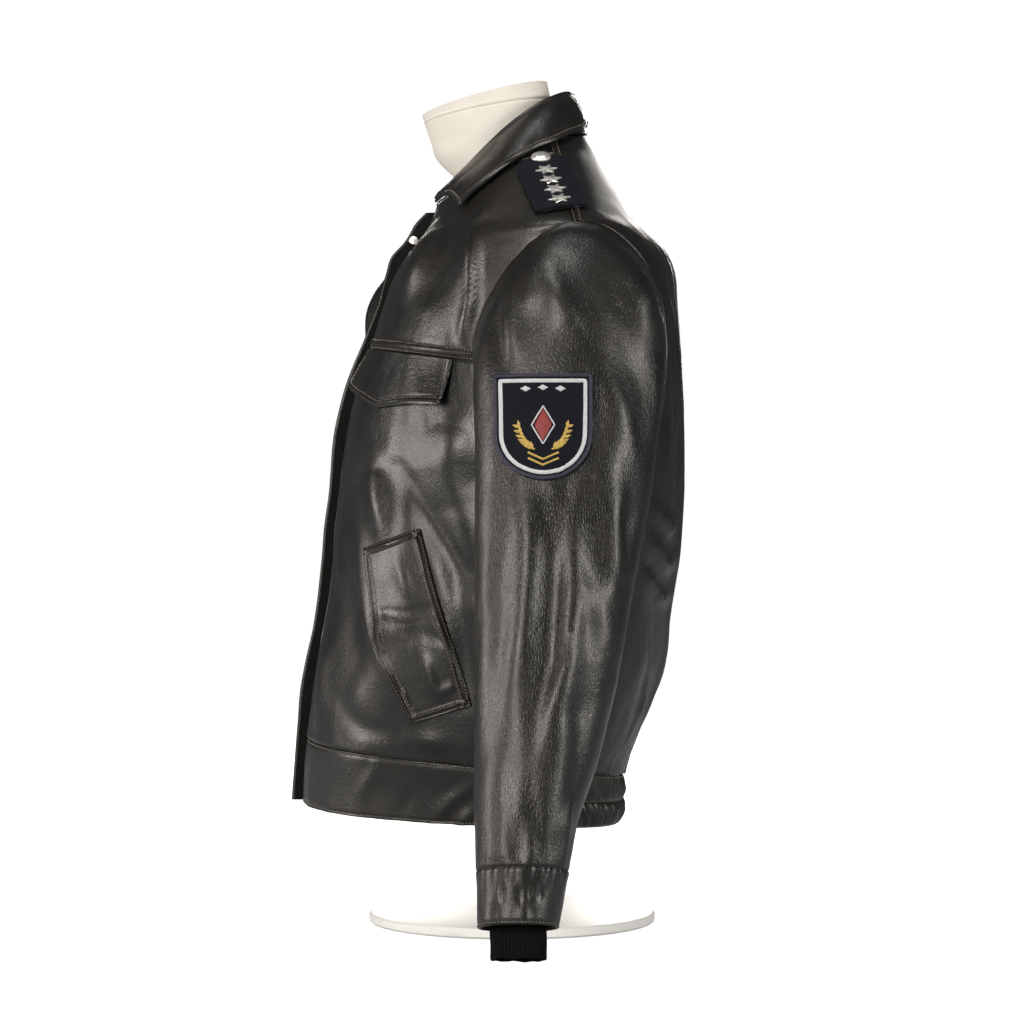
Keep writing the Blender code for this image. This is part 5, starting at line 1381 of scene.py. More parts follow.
def make_front_edge():
    """The stitched edge that binds the right front, with the woven tape inside it."""
    low = np.linspace(HEM_FRONT, BAND_FRONT, 18)
    heights = np.concatenate([low, np.linspace(BAND_FRONT, NECK_FRONT - 0.004, 120)[1:]])
    gap = column(EDGES, EDGE_COLUMNS, "half_gap", heights)
    points = torso(angle_at_x(gap, heights), heights, RIGHT)
    ahead = column(EDGES, EDGE_COLUMNS, "ahead", heights)
    wave = soft_noise(heights * 16, 0.5, 0.0) * 0.0028
    forward, inward = np.array([0, -1.0, 0]), np.array([1.0, 0, 0])
    shares = np.array([0.0, 0.12, 0.3, 0.5, 0.7, 0.82, 0.9, 0.96, 1.0])
    reach = -EDGE_BEHIND + (ahead + wave + EDGE_BEHIND)[:, None] * shares
    outer = points[:, None] + forward * reach[..., None] + inward * SEAM_GAP
    thick = np.interp(shares, [0, 0.7, 0.9, 0.97, 1.0], [1.0, 1.0, 1.35, 1.1, 0.4]) * EDGE_THICK
    off = (EDGE_THICK - thick)[None, :, None] * 0.5 * inward
    cloth("front_edge_binding", outer + off, outer + inward * thick[None, :, None] + off, MATERIALS["leather"],
          "edge_facing")
    right = np.broadcast_to(inward, outer.shape)
    for sign, base in ((1, outer + inward * EDGE_THICK), (-1, outer)):
        stitched_edge("stitching_front", base, right * sign, "right", (0.0016,))
    reach = -EDGE_BEHIND + (
        ahead + wave * 0.8 - TAPE_SHORT * 1.6 + EDGE_BEHIND
    )[:, None] * np.linspace(0, 1, 7)
    base = points[:, None] + forward * reach[..., None] + inward * (SEAM_GAP + EDGE_THICK + TOUCH)
    cloth("woven_fly_tape", base + inward * TAPE_THICK, base, MATERIALS["tape"], "fly_tape")


# Shoulder straps


def rounded_grid(start, end, half_width, along, across, corner):
    """A strap's plan with rounded corners at both ends."""
    first, last = np.array(STRAP_INNER), np.array(STRAP_OUTER)
    run = last - first
    length = np.hypot(*run)
    sideways = np.array([-run[1], run[0]]) / length
    places = clustered((end - start) * length, along)
    share = start + (end - start) * places
    from_end = np.minimum(share - start, end - share) * length
    inset = np.where(
        from_end < corner, corner - np.sqrt(np.maximum(corner**2 - (corner - from_end) ** 2, 0)), 0
    )
    reach = (half_width - inset)[:, None] * (2 * clustered(2 * half_width, across) - 1)[None, :]
    plan = first + run * share[:, None, None] + sideways * reach[..., None]
    return np.concatenate([plan, np.full(plan.shape[:2] + (1,), 0.9)], axis=-1)


def make_straps(body):
    thick = STRAP_THICK
    for word, side in SIDES.items():
        mirror = side == RIGHT
        starts = rounded_grid(0.0, STRAP_END, STRAP_HALF_WIDTH, 0.0030, 0.0030, 0.009)
        low, out = laid_grid(body, starts, (0, 0, -1), STRAP_LIFT)
        top = low + out * (
            thick + edged(low, {e: "strap" for e in ("left", "right", "low", "high")})
        )[..., None]
        cloth(f"shoulder_strap_{word}", top, low, MATERIALS["leather"], f"epaulette_{word}",
              mirror=mirror)
        stitched_edge("stitching_straps", top, out, "low", STITCHED["strap"], mirror=mirror)
        starts = rounded_grid(SLIDE_START, SLIDE_END, SLIDE_HALF_WIDTH, 0.0024, 0.0024, 0.0045)
        low, out = laid_grid(body, starts, (0, 0, -1), STRAP_LIFT + thick + 2 * TOUCH)
        rim = near_edges(low, ("left", "right", "low", "high"))
        lift = SLIDE_THICK * (
            1 - 0.35 * np.exp(-((rim / 0.0007) ** 2))
        ) + 0.0002 * np.exp(-(((rim - 0.0016) / 0.001) ** 2))
        cloth(f"woven_slide_{word}", low + out * lift[..., None], low, MATERIALS["twill"], f"rank_slide_{word}",
              mirror=mirror)


# The sleeve badge


def badge_half_width(share, inset=0.0):
    closing = np.clip((share - PATCH_STRAIGHT) / (1 - PATCH_STRAIGHT), 0, 1)
    return (PATCH_HALF_WIDTH - inset) * (1 - 0.04 * share) * np.sqrt(1 - closing**2)


def badge_outline(inset):
    """The shield's outline, drawn in by this distance, as even places (y, z)."""
    share = np.concatenate([np.linspace(0, 0.9, 40), 1 - 0.1 * (1 - np.linspace(0, 1, 30)) ** 2])[:-1]
    top, low = PATCH_TOP - inset, PATCH_LOW + inset
    down = np.stack([PATCH_MIDDLE_Y - badge_half_width(share, inset), top + (low - top) * share], -1)
    up = np.stack([PATCH_MIDDLE_Y + badge_half_width(share, inset), top + (low - top) * share], -1)[::-1]
    path = np.concatenate([down, up, down[:1]])
    place = np.concatenate([[0], np.cumsum(np.hypot(*np.diff(path, axis=0).T))])
    even = np.linspace(0, place[-1], round(place[-1] / 0.0016))
    return np.stack([np.interp(even, place, path[:, axis]) for axis in (0, 1)], -1)


def thread_bars(name, bars, material, arm, lift, closed=False):
    """Satin stitch: each bar is a raised path on the badge, given as places (y, z) and half widths."""
    points, faces = [], []
    for path, widths, height in bars:
        path = np.asarray(path, float)
        widths = np.broadcast_to(widths, len(path))
        if closed:
            path = path[:-1]
            widths = widths[:-1]
            run = unit(np.roll(path, -1, axis=0) - np.roll(path, 1, axis=0))
        else:
            run = unit(np.gradient(path, axis=0))
        side = np.stack([-run[:, 1], run[:, 0]], -1)
        ring = np.array([[-1.0, 0.0], [-0.72, 0.75], [0.0, 1.0], [0.72, 0.75], [1.0, 0.0]])
        first = len(points)
        for place, turn, width in zip(path, side, widths):
            for across, up in ring:
                y, z = place + turn * across * width
                spot, out = landed(arm, (0.6, y, z), (-1, 0, 0))
                points.append(spot + out * (lift + height * up))
        count = len(path)
        faces += grid_faces(count, 5, first, True, False).tolist()
        if closed:
            for number in range(5):
                after = (number + 1) % 5
                last = first + (count - 1) * 5
                faces.append([last + number, last + after, first + after, first + number])
        else:
            faces.append([first + n for n in range(5)][::-1])
            faces.append([first + (count - 1) * 5 + n for n in range(5)])
    solid_piece(name, points, faces, material, None, smooth=60, outward=True)


def on_badge(places):
    """Places in millimetres from the badge's middle, as (y, z) in metres."""
    return np.array(places) * 0.001 + np.array([PATCH_MIDDLE_Y, BADGE_MIDDLE_Z])


def make_badge(arm):
    shares = np.concatenate([clustered(0.0925, 0.0030)[:-1] * 0.93, np.linspace(0.93, 0.995, 8)])
    across = 2 * clustered(0.085, 0.0030) - 1
    y = PATCH_MIDDLE_Y + badge_half_width(shares)[:, None] * across[None, :]
    z = PATCH_TOP + (PATCH_LOW - PATCH_TOP) * shares[:, None] + 0 * y
    starts = np.stack([np.full(y.shape, 0.6), y, z], axis=-1)
    low, out = laid_grid(arm, starts, (-1, 0, 0), PATCH_LIFT)
    cloth("badge_ground", (low + out * PATCH_THICK)[::-1], low[::-1], MATERIALS["twill"], "sleeve_patch")
    on_top = PATCH_LIFT + PATCH_THICK - 0.0002
    thread_bars(
        "badge_overlock", [(badge_outline(0.0012), 0.0017, 0.0009)], MATERIALS["purple thread"], arm,
        on_top, True
    )
    thread_bars(
        "badge_inner_border", [(badge_outline(0.0060), 0.0019, 0.0007)], MATERIALS["white thread"], arm,
        on_top, True
    )
    white, gold, red = [], [], []
    for x, height in LOZENGE_ROW:
        path = on_badge(
            [(x - 4.5, height), (x - 2.2, height), (x, height), (x + 2.2, height), (x + 4.5, height)]
        )
        white.append((path, np.array([0.1, 1.5, 2.9, 1.5, 0.1]) * 0.001, 0.0007))
    middle = on_badge([(0, 15.0), (0, 8.0), (0, 1.0), (0, -6.0), (0, -13.0)])
    red.append((middle, np.array([0.2, 4.2, 8.0, 4.2, 0.2]) * 0.001, 0.0008))
    rim = on_badge([(0, 17.5), (9.8, 1.0), (0, -15.5), (-9.8, 1.0), (0, 17.5)])
    for number in range(4):
        line = np.linspace(rim[number], rim[number + 1], 6)
        white.append((line, 0.0007, 0.0009))
    for side in (-1, 1):
        stem = [
            (side * (7 + 14 * math.sin(t)), -20 + 36 * (1 - math.cos(t * 0.9))) for t in np.linspace(0, 1.3, 12)
        ]
        gold.append((on_badge(stem), 0.0008, 0.0007))
        for number in range(LEAF_COUNT):
            t = 0.15 + 1.05 * number / (LEAF_COUNT - 1)
            foot = np.array([side * (7 + 14 * math.sin(t)), -20 + 36 * (1 - math.cos(t * 0.9))])
            for lean in (0.25, 1.25):
                tip = foot + 6.4 * np.array([side * math.sin(lean), math.cos(lean)])
                leaf = on_badge(np.linspace(foot, tip, 5))
                gold.append((leaf, np.array([0.3, 1.3, 1.6, 1.0, 0.15]) * 0.001, 0.0007))
    for drop in (0.0, 5.0):
        gold.append((on_badge([(-13, -23 - drop), (0, -29 - drop), (13, -23 - drop)]), 0.0011, 0.0007))
    thread_bars("badge_white_emblem", white, MATERIALS["white thread"], arm, on_top)
    thread_bars("badge_gold_emblem", gold, MATERIALS["gold thread"], arm, on_top)
    thread_bars("badge_red_emblem", red, MATERIALS["red thread"], arm, on_top)


# The dress form and the metal


def make_form():
    """The cover of the form, with the seam below the top of its neck block."""
    turns = np.linspace(-math.pi, math.pi, 97)[:-1]
    rings = [trunk_ring(height, turns) for height in np.linspace(FORM_TRUNK[0][0], FORM_TRUNK[-1][0], 26)]
    for height in np.linspace(FORM_SHOULDER_HEIGHTS[0], FORM_SHOULDER_HEIGHTS[-1], 15):
        ring = shoulder_ring(height, turns)
        ring[:, 0] *= 1 - SHOULDER_DRAW * max(0.0, 0.675 - height) / 0.023
        rings.append(ring)
    heights = np.concatenate(
        [np.linspace(0.726, 0.786, 14), np.linspace(0.7868, 0.7965, 14), [0.800, 0.803, 0.8045]]
    )
    for height in heights:
        ring = neck_ring(height, turns)
        middle = ring.mean(axis=0)
        groove = 0.0007 * math.exp(-(((height - NECK_SEAM) / 0.0007) ** 2))
        groove -= 0.0004 * math.exp(-(((height - NECK_SEAM - 0.0022) / 0.0012) ** 2))
        upright = 0.0006 * np.exp(-(((turns + 0.06) / 0.012) ** 2))
        out = unit((ring - middle) * np.array([1, 1, 0]))
        rings.append(ring - out * (groove + upright)[:, None])
    edge = neck_ring(NECK[-1][0], turns)
    middle = edge.mean(axis=0)
    for inset, drop in ((0.975, 0.0), (0.90, 0.0006), (0.7, 0.0010), (0.4, 0.0012), (0.12, 0.0013)):
        rings.append(middle + (edge - middle) * inset + np.array([0, 0, drop]))
    grid = np.array(rings)
    rows, columns = grid.shape[:2]
    faces = grid_faces(rows, columns, 0, True, False).tolist()
    faces.append(list(range(columns))[::-1])
    faces.append([(rows - 1) * columns + place for place in range(columns)])
    solid_piece(
        "dress_form_cover", grid.reshape(-1, 3), faces, MATERIALS["linen"], "dress_form"
    )


def finish_metal():
    """The stars, buttons, snap, pole and base keep their solids, with softened edges and their own finish."""
    for name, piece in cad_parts.items():
        if name.startswith("star_") or name.startswith("strap_button") or name == "snap":
            material, width = MATERIALS["silver"], 0.00022
        elif name in ("pole", "base"):
            material, width = MATERIALS["powder coat"], 0.0004
        else:
            continue
        piece.data.materials.clear()
        piece.data.materials.append(material)
        weld = piece.modifiers.new("merged points", "WELD")
        weld.merge_threshold = 0.00001
        bevel = piece.modifiers.new("softened edges", "BEVEL")
        bevel.width = width
        bevel.segments = 2
        bevel.limit_method = "ANGLE"
        bevel.angle_limit = math.radians(24)


# Materials


def linear(hex_colour):
    """An sRGB hex colour as the shader's linear colour."""
    parts = [int(hex_colour[i:i + 2], 16) / 255 for i in (1, 3, 5)]
    return tuple(c / 12.92 if c <= 0.04045 else ((c + 0.055) / 1.055) ** 2.4 for c in parts) + (1.0,)


def add_node(tree, kind, place, settings=(), links=()):
    """Adds a node at a place, with its settings by name and its links by input."""
    node = tree.nodes.new(kind)
    node.location = place
    for name, value in dict(settings).items():
        if isinstance(name, str) and name not in node.inputs:
            setattr(node, name, value)
        else:
            node.inputs[name].default_value = value
    for entry, source in dict(links).items():
        tree.links.new(source, node.inputs[entry])
    return node


def fresh(name, **sockets):
    """A new material with its shader's even values set on the shader itself."""
    material = bpy.data.materials.new(name)
    material.use_nodes = True
    shader = material.node_tree.nodes["Principled BSDF"]
    for socket, value in sockets.items():
        shader.inputs[socket.replace("_", " ")].default_value = value
    return material, material.node_tree, shader


def two_tone(tree, shader, where, dark, light, scale, detail=4.0):
    """Uneven dye: two near colours mixed by soft noise."""
    cloud = add_node(
        tree, "ShaderNodeTexNoise", (-900, 300), {"Scale": scale, "Detail": detail}, {"Vector": where}
    )
    mix = add_node(tree, "ShaderNodeMix", (-500, 300), {"data_type": "RGBA"}, {0: cloud.outputs["Fac"]})
    mix.inputs[6].default_value = linear(dark)
    mix.inputs[7].default_value = linear(light)
    tree.links.new(mix.outputs[2], shader.inputs["Base Color"])
    return cloud


def worn_roughness(tree, shader, factor, low, high):
    spread = add_node(
        tree, "ShaderNodeMapRange", (-500, 60), {
            "From Min": 0.3, "From Max": 0.7, "To Min": low, "To Max": high
        },
        {"Value": factor},
    )
    tree.links.new(spread.outputs["Result"], shader.inputs["Roughness"])


def leather_material(name, crackle):
    """Drum-dyed lamb leather with a thin pigment finish: soft wide sheen, pebble grain, drawn 1.5 mm across.

    On the sleeves the finish has cracked into fine upright lines where the leather bends.
    """
    material, tree, shader = fresh(
        name, IOR=1.45, Specular_IOR_Level=0.55, Coat_Weight=0.12, Coat_Roughness=0.25
    )
    where = add_node(tree, "ShaderNodeTexCoord", (-1700, 0)).outputs["Object"]
    cloud = two_tone(tree, shader, where, COLOURS().leather_dark, COLOURS().leather_light, 22.0, 5.0)
    worn_roughness(tree, shader, cloud.outputs["Fac"], 0.33, 0.47)
    warp = add_node(
        tree, "ShaderNodeTexNoise", (-1500, -250), {"Scale": 160.0, "Detail": 2.0}, {"Vector": where}
    )
    bent = add_node(
        tree, "ShaderNodeVectorMath", (-1300, -200), {"operation": "MULTIPLY_ADD", 1: (0.0012,) * 3},
        {0: warp.outputs["Color"], 2: where},
    )
    pebble = add_node(
        tree, "ShaderNodeTexVoronoi", (-1100, -100), {
            "feature": "SMOOTH_F1", "Scale": 1 / GRAIN, "Smoothness": 0.5
        },
        {"Vector": bent.outputs[0]},
    )
    fine = add_node(
        tree, "ShaderNodeTexNoise", (-1100, -350), {"Scale": 1 / (GRAIN * 2.6), "Detail": 6.0},
        {"Vector": where}
    )
    soft = add_node(
        tree, "ShaderNodeBump", (-700, -300), {
            "Strength": 0.55, "Distance": 0.0006
        }, {"Height": fine.outputs["Fac"]}
    )
    grain = add_node(
        tree, "ShaderNodeBump", (-450, -200), {"Strength": 0.45, "Distance": 0.0003},
        {"Height": pebble.outputs["Distance"], "Normal": soft.outputs["Normal"]},
    )
    grain.invert = True
    last = grain
    if crackle:
        stretch = add_node(
            tree, "ShaderNodeMapping", (-1300, -600), {"Scale": (1.0, 1.0, 0.36)}, {"Vector": bent.outputs[0]}
        )
        cracks = add_node(
            tree, "ShaderNodeTexVoronoi", (-1100, -600), {
                "feature": "DISTANCE_TO_EDGE", "Scale": 1 / CRACK
            },
            {"Vector": stretch.outputs[0]},
        )
        lines = add_node(
            tree, "ShaderNodeMapRange", (-900, -600), {
                "From Min": 0.0, "From Max": 0.16, "To Min": 0.0, "To Max": 1.0
            },
            {"Value": cracks.outputs["Distance"]},
        )
        last = add_node(
            tree, "ShaderNodeBump", (-250, -400), {"Strength": 0.35, "Distance": 0.0003},
            {"Height": lines.outputs["Result"], "Normal": grain.outputs["Normal"]},
        )
    tree.links.new(last.outputs["Normal"], shader.inputs["Normal"])
    return material


def thread_material(name, dark, light, pitch, gloss, angle=0.0, uv=False, depth=0.00018, shine=0.2):
    """Woven or spun thread: fine even ridges of the thread's own pitch over uneven dye; for the black stitching
    thread the two tones are painted light grey, a painted highlight.
    """
    material, tree, shader = fresh(name, IOR=1.46, Specular_IOR_Level=shine)
    coords = add_node(tree, "ShaderNodeTexCoord", (-1700, 0))
    where = coords.outputs["Object"]
    cloud = two_tone(tree, shader, where, dark, light, 300.0)
    worn_roughness(tree, shader, cloud.outputs["Fac"], gloss, min(1.0, gloss + 0.15))
    source = coords.outputs["UV"] if uv else where
    turned = add_node(
        tree, "ShaderNodeMapping", (-1300, -200), {"Rotation": (0, 0, angle)}, {"Vector": source}
    )
    ridge = add_node(
        tree, "ShaderNodeTexWave", (-1100, -200), {
            "Scale": 0.314 / pitch, "Distortion": 0.6, "bands_direction": "X"
        },
        {"Vector": turned.outputs[0]},
    )
    other = add_node(
        tree, "ShaderNodeTexWave", (-1100, -480), {
            "Scale": 0.314 / pitch, "Distortion": 0.6, "bands_direction": "Y"
        },
        {"Vector": turned.outputs[0]},
    )
    both = add_node(
        tree, "ShaderNodeMath", (-850, -300), {"operation": "MAXIMUM"}, {
            0: ridge.outputs["Fac"], 1: other.outputs["Fac"]
        }
    )
    bump = add_node(
        tree, "ShaderNodeBump", (-450, -300), {
            "Strength": 0.7, "Distance": depth
        }, {"Height": both.outputs[0]}
    )
    tree.links.new(bump.outputs["Normal"], shader.inputs["Normal"])
    return material


def linen_material():
    """Unbleached linen stretched over the form: plain weave with slubs, threads about 0.9 mm apart."""
    material, tree, shader = fresh("stretched linen", IOR=1.46, Specular_IOR_Level=0.2)
    where = add_node(tree, "ShaderNodeTexCoord", (-1700, 0)).outputs["Object"]
    cloud = two_tone(tree, shader, where, COLOURS().linen_dark, COLOURS().linen_light, 40.0, 6.0)
    worn_roughness(tree, shader, cloud.outputs["Fac"], 0.80, 0.95)
    heights = []
    for number, scale in enumerate(((1100.0, 1100.0, 70.0), (80.0, 80.0, 1100.0))):
        stretch = add_node(
            tree, "ShaderNodeMapping", (-1300, -200 - 250 * number), {"Scale": scale}, {"Vector": where}
        )
        thread = add_node(
            tree, "ShaderNodeTexNoise", (-1100, -200 - 250 * number), {"Scale": 1.0, "Detail": 2.0},
            {"Vector": stretch.outputs[0]},
        )
        heights.append(thread.outputs["Fac"])
    both = add_node(
        tree, "ShaderNodeMath", (-850, -300), {"operation": "ADD"}, {0: heights[0], 1: heights[1]}
    )
    bump = add_node(
        tree, "ShaderNodeBump", (-450, -300), {"Strength": 0.6, "Distance": 0.0004},
        {"Height": both.outputs[0]}
    )
    tree.links.new(bump.outputs["Normal"], shader.inputs["Normal"])
    return material


def plated_material():
    """Nickel-plated brass, stamped and polished: bright, with faint fine scratches."""
    material, tree, shader = fresh("polished plate", Metallic=1.0)
    where = add_node(tree, "ShaderNodeTexCoord", (-1700, 0)).outputs["Object"]
    cloud = two_tone(tree, shader, where, COLOURS().silver_dark, COLOURS().silver_light, 260.0, 5.0)
    worn_roughness(tree, shader, cloud.outputs["Fac"], 0.34, 0.48)
    bump = add_node(
        tree, "ShaderNodeBump", (-450, -300), {
            "Strength": 0.25, "Distance": 0.0002
        }, {"Height": cloud.outputs["Fac"]}
    )
    tree.links.new(bump.outputs["Normal"], shader.inputs["Normal"])
    return material


def powder_material():
    """Powder coat baked on steel: pale and even, with orange-peel about 1.5 mm across."""
    material, tree, shader = fresh("powder coat", IOR=1.5)
    where = add_node(tree, "ShaderNodeTexCoord", (-1700, 0)).outputs["Object"]
    cloud = two_tone(tree, shader, where, COLOURS().steel_dark, COLOURS().steel_light, 12.0)
    worn_roughness(tree, shader, cloud.outputs["Fac"], 0.42, 0.52)
    peel = add_node(
        tree, "ShaderNodeTexNoise", (-900, -300), {"Scale": 650.0, "Detail": 1.0}, {"Vector": where}
    )
    bump = add_node(
        tree, "ShaderNodeBump", (-450, -300), {"Strength": 0.3, "Distance": 0.0003},
        {"Height": peel.outputs["Fac"]}
    )
    tree.links.new(bump.outputs["Normal"], shader.inputs["Normal"])
    return material


def make_materials():
    colours = COLOURS()
    MATERIALS["leather"] = leather_material("lamb leather", False)
    MATERIALS["sleeve leather"] = leather_material("creased lamb leather", True)
    # Wool rib knit: soft matt yarn, stitches about 1.6 mm tall
    MATERIALS["knit"] = thread_material(
        "wool rib knit", colours.knit_dark, colours.knit_light, 0.0016, 0.85, uv=True, depth=0.0004
    )
    # Woven polyester tape: flat weave, threads 1 mm apart
    MATERIALS["tape"] = thread_material(
        "woven tape", colours.tape_dark, colours.tape_light, 0.0010, 0.75, uv=True
    )
    # Navy wool twill: diagonal ribs 1 mm apart
    MATERIALS["twill"] = thread_material(
        "navy twill", colours.navy_dark, colours.navy_light, 0.0010, 0.80, math.radians(45), True
    )
    # Bonded nylon thread, spun: rounded and a little glossy. The thread is black; its light grey colours are a
    # painted highlight that stands for the sheen on each stitch
    MATERIALS["thread"] = thread_material(
        "bonded thread with painted sheen", colours.thread_dark, colours.thread_light, 0.0006, 0.42, shine=0.5
    )
    for word in ("white", "gold", "red", "purple"):
        dark, light = getattr(colours, f"{word}_dark"), getattr(colours, f"{word}_light")
        # Rayon embroidery thread: satin gloss along ridges drawn 0.8 mm apart
        MATERIALS[f"{word} thread"] = thread_material(
            f"{word} satin thread", dark, light, 0.0008, 0.45, math.radians(30), shine=0.5
        )
    MATERIALS["linen"] = linen_material()
    MATERIALS["silver"] = plated_material()
    MATERIALS["powder coat"] = powder_material()


# The stage


def aim(thing, target):
    thing.rotation_mode = "QUATERNION"
    thing.rotation_quaternion = (Vector(target) - thing.location).to_track_quat("-Z", "Y")


def make_stage():
    settings = bpy.context.scene.jacket_stage
    scene = bpy.context.scene
    camera = bpy.data.objects.new("camera", bpy.data.cameras.new("camera"))
    scene.collection.objects.link(camera)
    camera.location = (settings.camera_distance, 0.0, settings.camera_height)
    camera.rotation_euler = (math.radians(90), 0.0, math.radians(90))
    camera.data.sensor_width = 36.0
    camera.data.lens = settings.lens
    scene.camera = camera
    bpy.ops.object.select_all(action="DESELECT")
    bpy.ops.mesh.primitive_plane_add(size=40.0, location=(0.0, 0.0, -0.0004))
    floor = bpy.context.object
    floor.name = "floor"
    material, tree, shader = fresh("pale floor", Roughness=0.9)
    where = add_node(tree, "ShaderNodeTexCoord", (-900, 0)).outputs["Object"]
    two_tone(tree, shader, where, "#8e8e8e", "#929292", 3.0)
    shader.inputs["Emission Color"].default_value = (1.0, 1.0, 1.0, 1.0)
    seen = add_node(tree, "ShaderNodeLightPath", (-900, -300))
    glow = add_node(
        tree, "ShaderNodeMapRange", (-500, -300), {"To Min": settings.floor_glow, "To Max": 1.0},
        {"Value": seen.outputs["Is Camera Ray"]},
    )
    tree.links.new(glow.outputs["Result"], shader.inputs["Emission Strength"])
    floor.data.materials.append(material)
    for name, place, target, size, power, colour in LAMPS:
        lamp = bpy.data.lights.new(name, "AREA")
        lamp.shape = "RECTANGLE"
        lamp.size, lamp.size_y = size
        lamp.energy = power * settings.light
        lamp.color = colour
        thing = bpy.data.objects.new(name, lamp)
        scene.collection.objects.link(thing)
        thing.location = place
        aim(thing, target)
    world = bpy.data.worlds.new("studio") if scene.world is None else scene.world
    scene.world = world
    world.use_nodes = True
    tree = world.node_tree
    tree.nodes.clear()
    seen = add_node(tree, "ShaderNodeBackground", (0, 200), {"Color": (1, 1, 1, 1), "Strength": 1.05})
    room = add_node(
        tree, "ShaderNodeBackground", (0, 0),
        {"Color": (0.96, 0.98, 1.0, 1), "Strength": settings.room_light}
    )
    path = add_node(tree, "ShaderNodeLightPath", (0, 500))
    mix = add_node(
        tree, "ShaderNodeMixShader", (300, 100), (),
        {0: path.outputs["Is Camera Ray"], 1: room.outputs[0], 2: seen.outputs[0]},
    )
    add_node(tree, "ShaderNodeOutputWorld", (500, 100), (), {"Surface": mix.outputs[0]})
    scene.view_settings.view_transform = "Standard"
    scene.view_settings.look = "None"


# Settings, operators and panel


class JacketSizes(bpy.types.PropertyGroup):
    """Sizes of the jacket's finished surfaces."""

    leather: bpy.props.FloatProperty(
        name="Leather", description="Thickness of the leather", default=0.0020, min=0.001, max=0.003,
        unit="LENGTH"
    )
    fold_depth: bpy.props.FloatProperty(
        name="Fold depth", description="How deep the fine folds are", default=1.6, subtype="FACTOR"
    )
    crumple_depth: bpy.props.FloatProperty(
        name="Crumple", description="How deep the small uneven waves are", default=1.3, subtype="FACTOR"
    )
    stitch_pitch: bpy.props.FloatProperty(
        name="Stitch pitch", description="Distance from stitch to stitch", default=0.0033, unit="LENGTH"
    )
    stitch_length: bpy.props.FloatProperty(
        name="Stitch length", description="Length of thread that shows", default=0.0026, unit="LENGTH"
    )


# Each finish with its label, its darker and its lighter colour
COLOUR_TABLE = (
    ("leather", "Leather", "#0e0c0a", "#171411"),
    ("knit", "Knit", "#060606", "#0b0b0b"),
    ("tape", "Tape", "#050505", "#090909"),
    ("navy", "Navy", "#080a12", "#0e111b"),
    # The stitching thread is black; these light grey tones are a painted highlight for its sheen
    ("thread", "Thread", "#57534c", "#7a756c"),
    ("white", "White thread", "#9d9da1", "#c4c4c8"),
    ("gold", "Gold thread", "#8d7433", "#bfa04e"),
    ("red", "Red thread", "#5f1a1c", "#8c2a2a"),
    ("purple", "Border thread", "#120f22", "#1c1733"),
    ("linen", "Linen", "#cbc6bd", "#dad6ce"),
    ("silver", "Plate", "#dedcd8", "#f8f7f4"),
    ("steel", "Powder coat", "#e6e6e4", "#f0f0ee"),
)


class JacketColours(bpy.types.PropertyGroup):
    """The darker and lighter colour of each finish, as sRGB hex."""

    __annotations__ = {
        f"{word}_{tone}": bpy.props.StringProperty(
            name=f"{label}, {tone}", description=f"The {tone} tone of this finish: {label}", default=value)
        for word, label, *pair in COLOUR_TABLE
        for tone, value in zip(("dark", "light"), pair)
    }


class JacketStage(bpy.types.PropertyGroup):
    """Camera and light of the stage."""

    camera_distance: bpy.props.FloatProperty(
        name="Camera distance", description="From the jacket's middle", default=3.0, unit="LENGTH"
    )
    camera_height: bpy.props.FloatProperty(
        name="Camera height", description="Above the floor", default=0.400, unit="LENGTH"
    )
    lens: bpy.props.FloatProperty(name="Lens", description="Focal length in millimetres", default=107.6)
    light: bpy.props.FloatProperty(
        name="Light", description="Strength of all the lamps", default=1.0, subtype="FACTOR"
    )
    room_light: bpy.props.FloatProperty(
        name="Room light", description="Light from all around", default=0.07, subtype="FACTOR"
    )
    floor_glow: bpy.props.FloatProperty(
        name="Floor glow", description="Light that the floor sends up", default=0.10, subtype="FACTOR"
    )


def SIZES():
    return bpy.context.scene.jacket_sizes


def COLOURS():
    return bpy.context.scene.jacket_colours


class JACKET_OT_materials(bpy.types.Operator):
    """Make the leather, knit, twill, thread, linen and metal"""

    bl_idname = "jacket.materials"
    bl_label = "Materials"

    def execute(self, context):
        make_materials()
        return {"FINISHED"}


class JACKET_OT_torso(bpy.types.Operator):
    """Cut the lower fronts, the yokes and the back"""

    bl_idname = "jacket.torso"
    bl_label = "Fronts, yokes and back"

    def execute(self, context):
        make_fronts()
        make_back()
        return {"FINISHED"}


class JACKET_OT_sleeves(bpy.types.Operator):
    """Make the two-piece sleeves"""

    bl_idname = "jacket.sleeves"
    bl_label = "Sleeves"

    def execute(self, context):
        make_sleeves()
        return {"FINISHED"}


class JACKET_OT_cuffs(bpy.types.Operator):
    """Make the leather cuffs and the knit cuffs inside them"""

    bl_idname = "jacket.cuffs"
    bl_label = "Cuffs"

    def execute(self, context):
        make_cuffs()
        make_knit_cuffs()
        return {"FINISHED"}


class JACKET_OT_waistband(bpy.types.Operator):
    """Make the front waistbands and the gathered back waistband"""

    bl_idname = "jacket.waistband"
    bl_label = "Waistband"

    def execute(self, context):
        make_waistbands()
        return {"FINISHED"}


class JACKET_OT_collar(bpy.types.Operator):
    """Turn the collar over the shoulders"""

    bl_idname = "jacket.collar"
    bl_label = "Collar"

    def execute(self, context):
        make_collar(skin_tree("yoke_left", "back"))
        return {"FINISHED"}


class JACKET_OT_pockets(bpy.types.Operator):
    """Make the chest flaps and the slanted hand pockets"""

    bl_idname = "jacket.pockets"
    bl_label = "Flaps and pockets"

    def execute(self, context):
        make_flaps()
        make_hand_pockets()
        return {"FINISHED"}


class JACKET_OT_front_edge(bpy.types.Operator):
    """Bind the right front's edge and lay the tape inside it"""

    bl_idname = "jacket.front_edge"
    bl_label = "Front edge"

    def execute(self, context):
        make_front_edge()
        return {"FINISHED"}


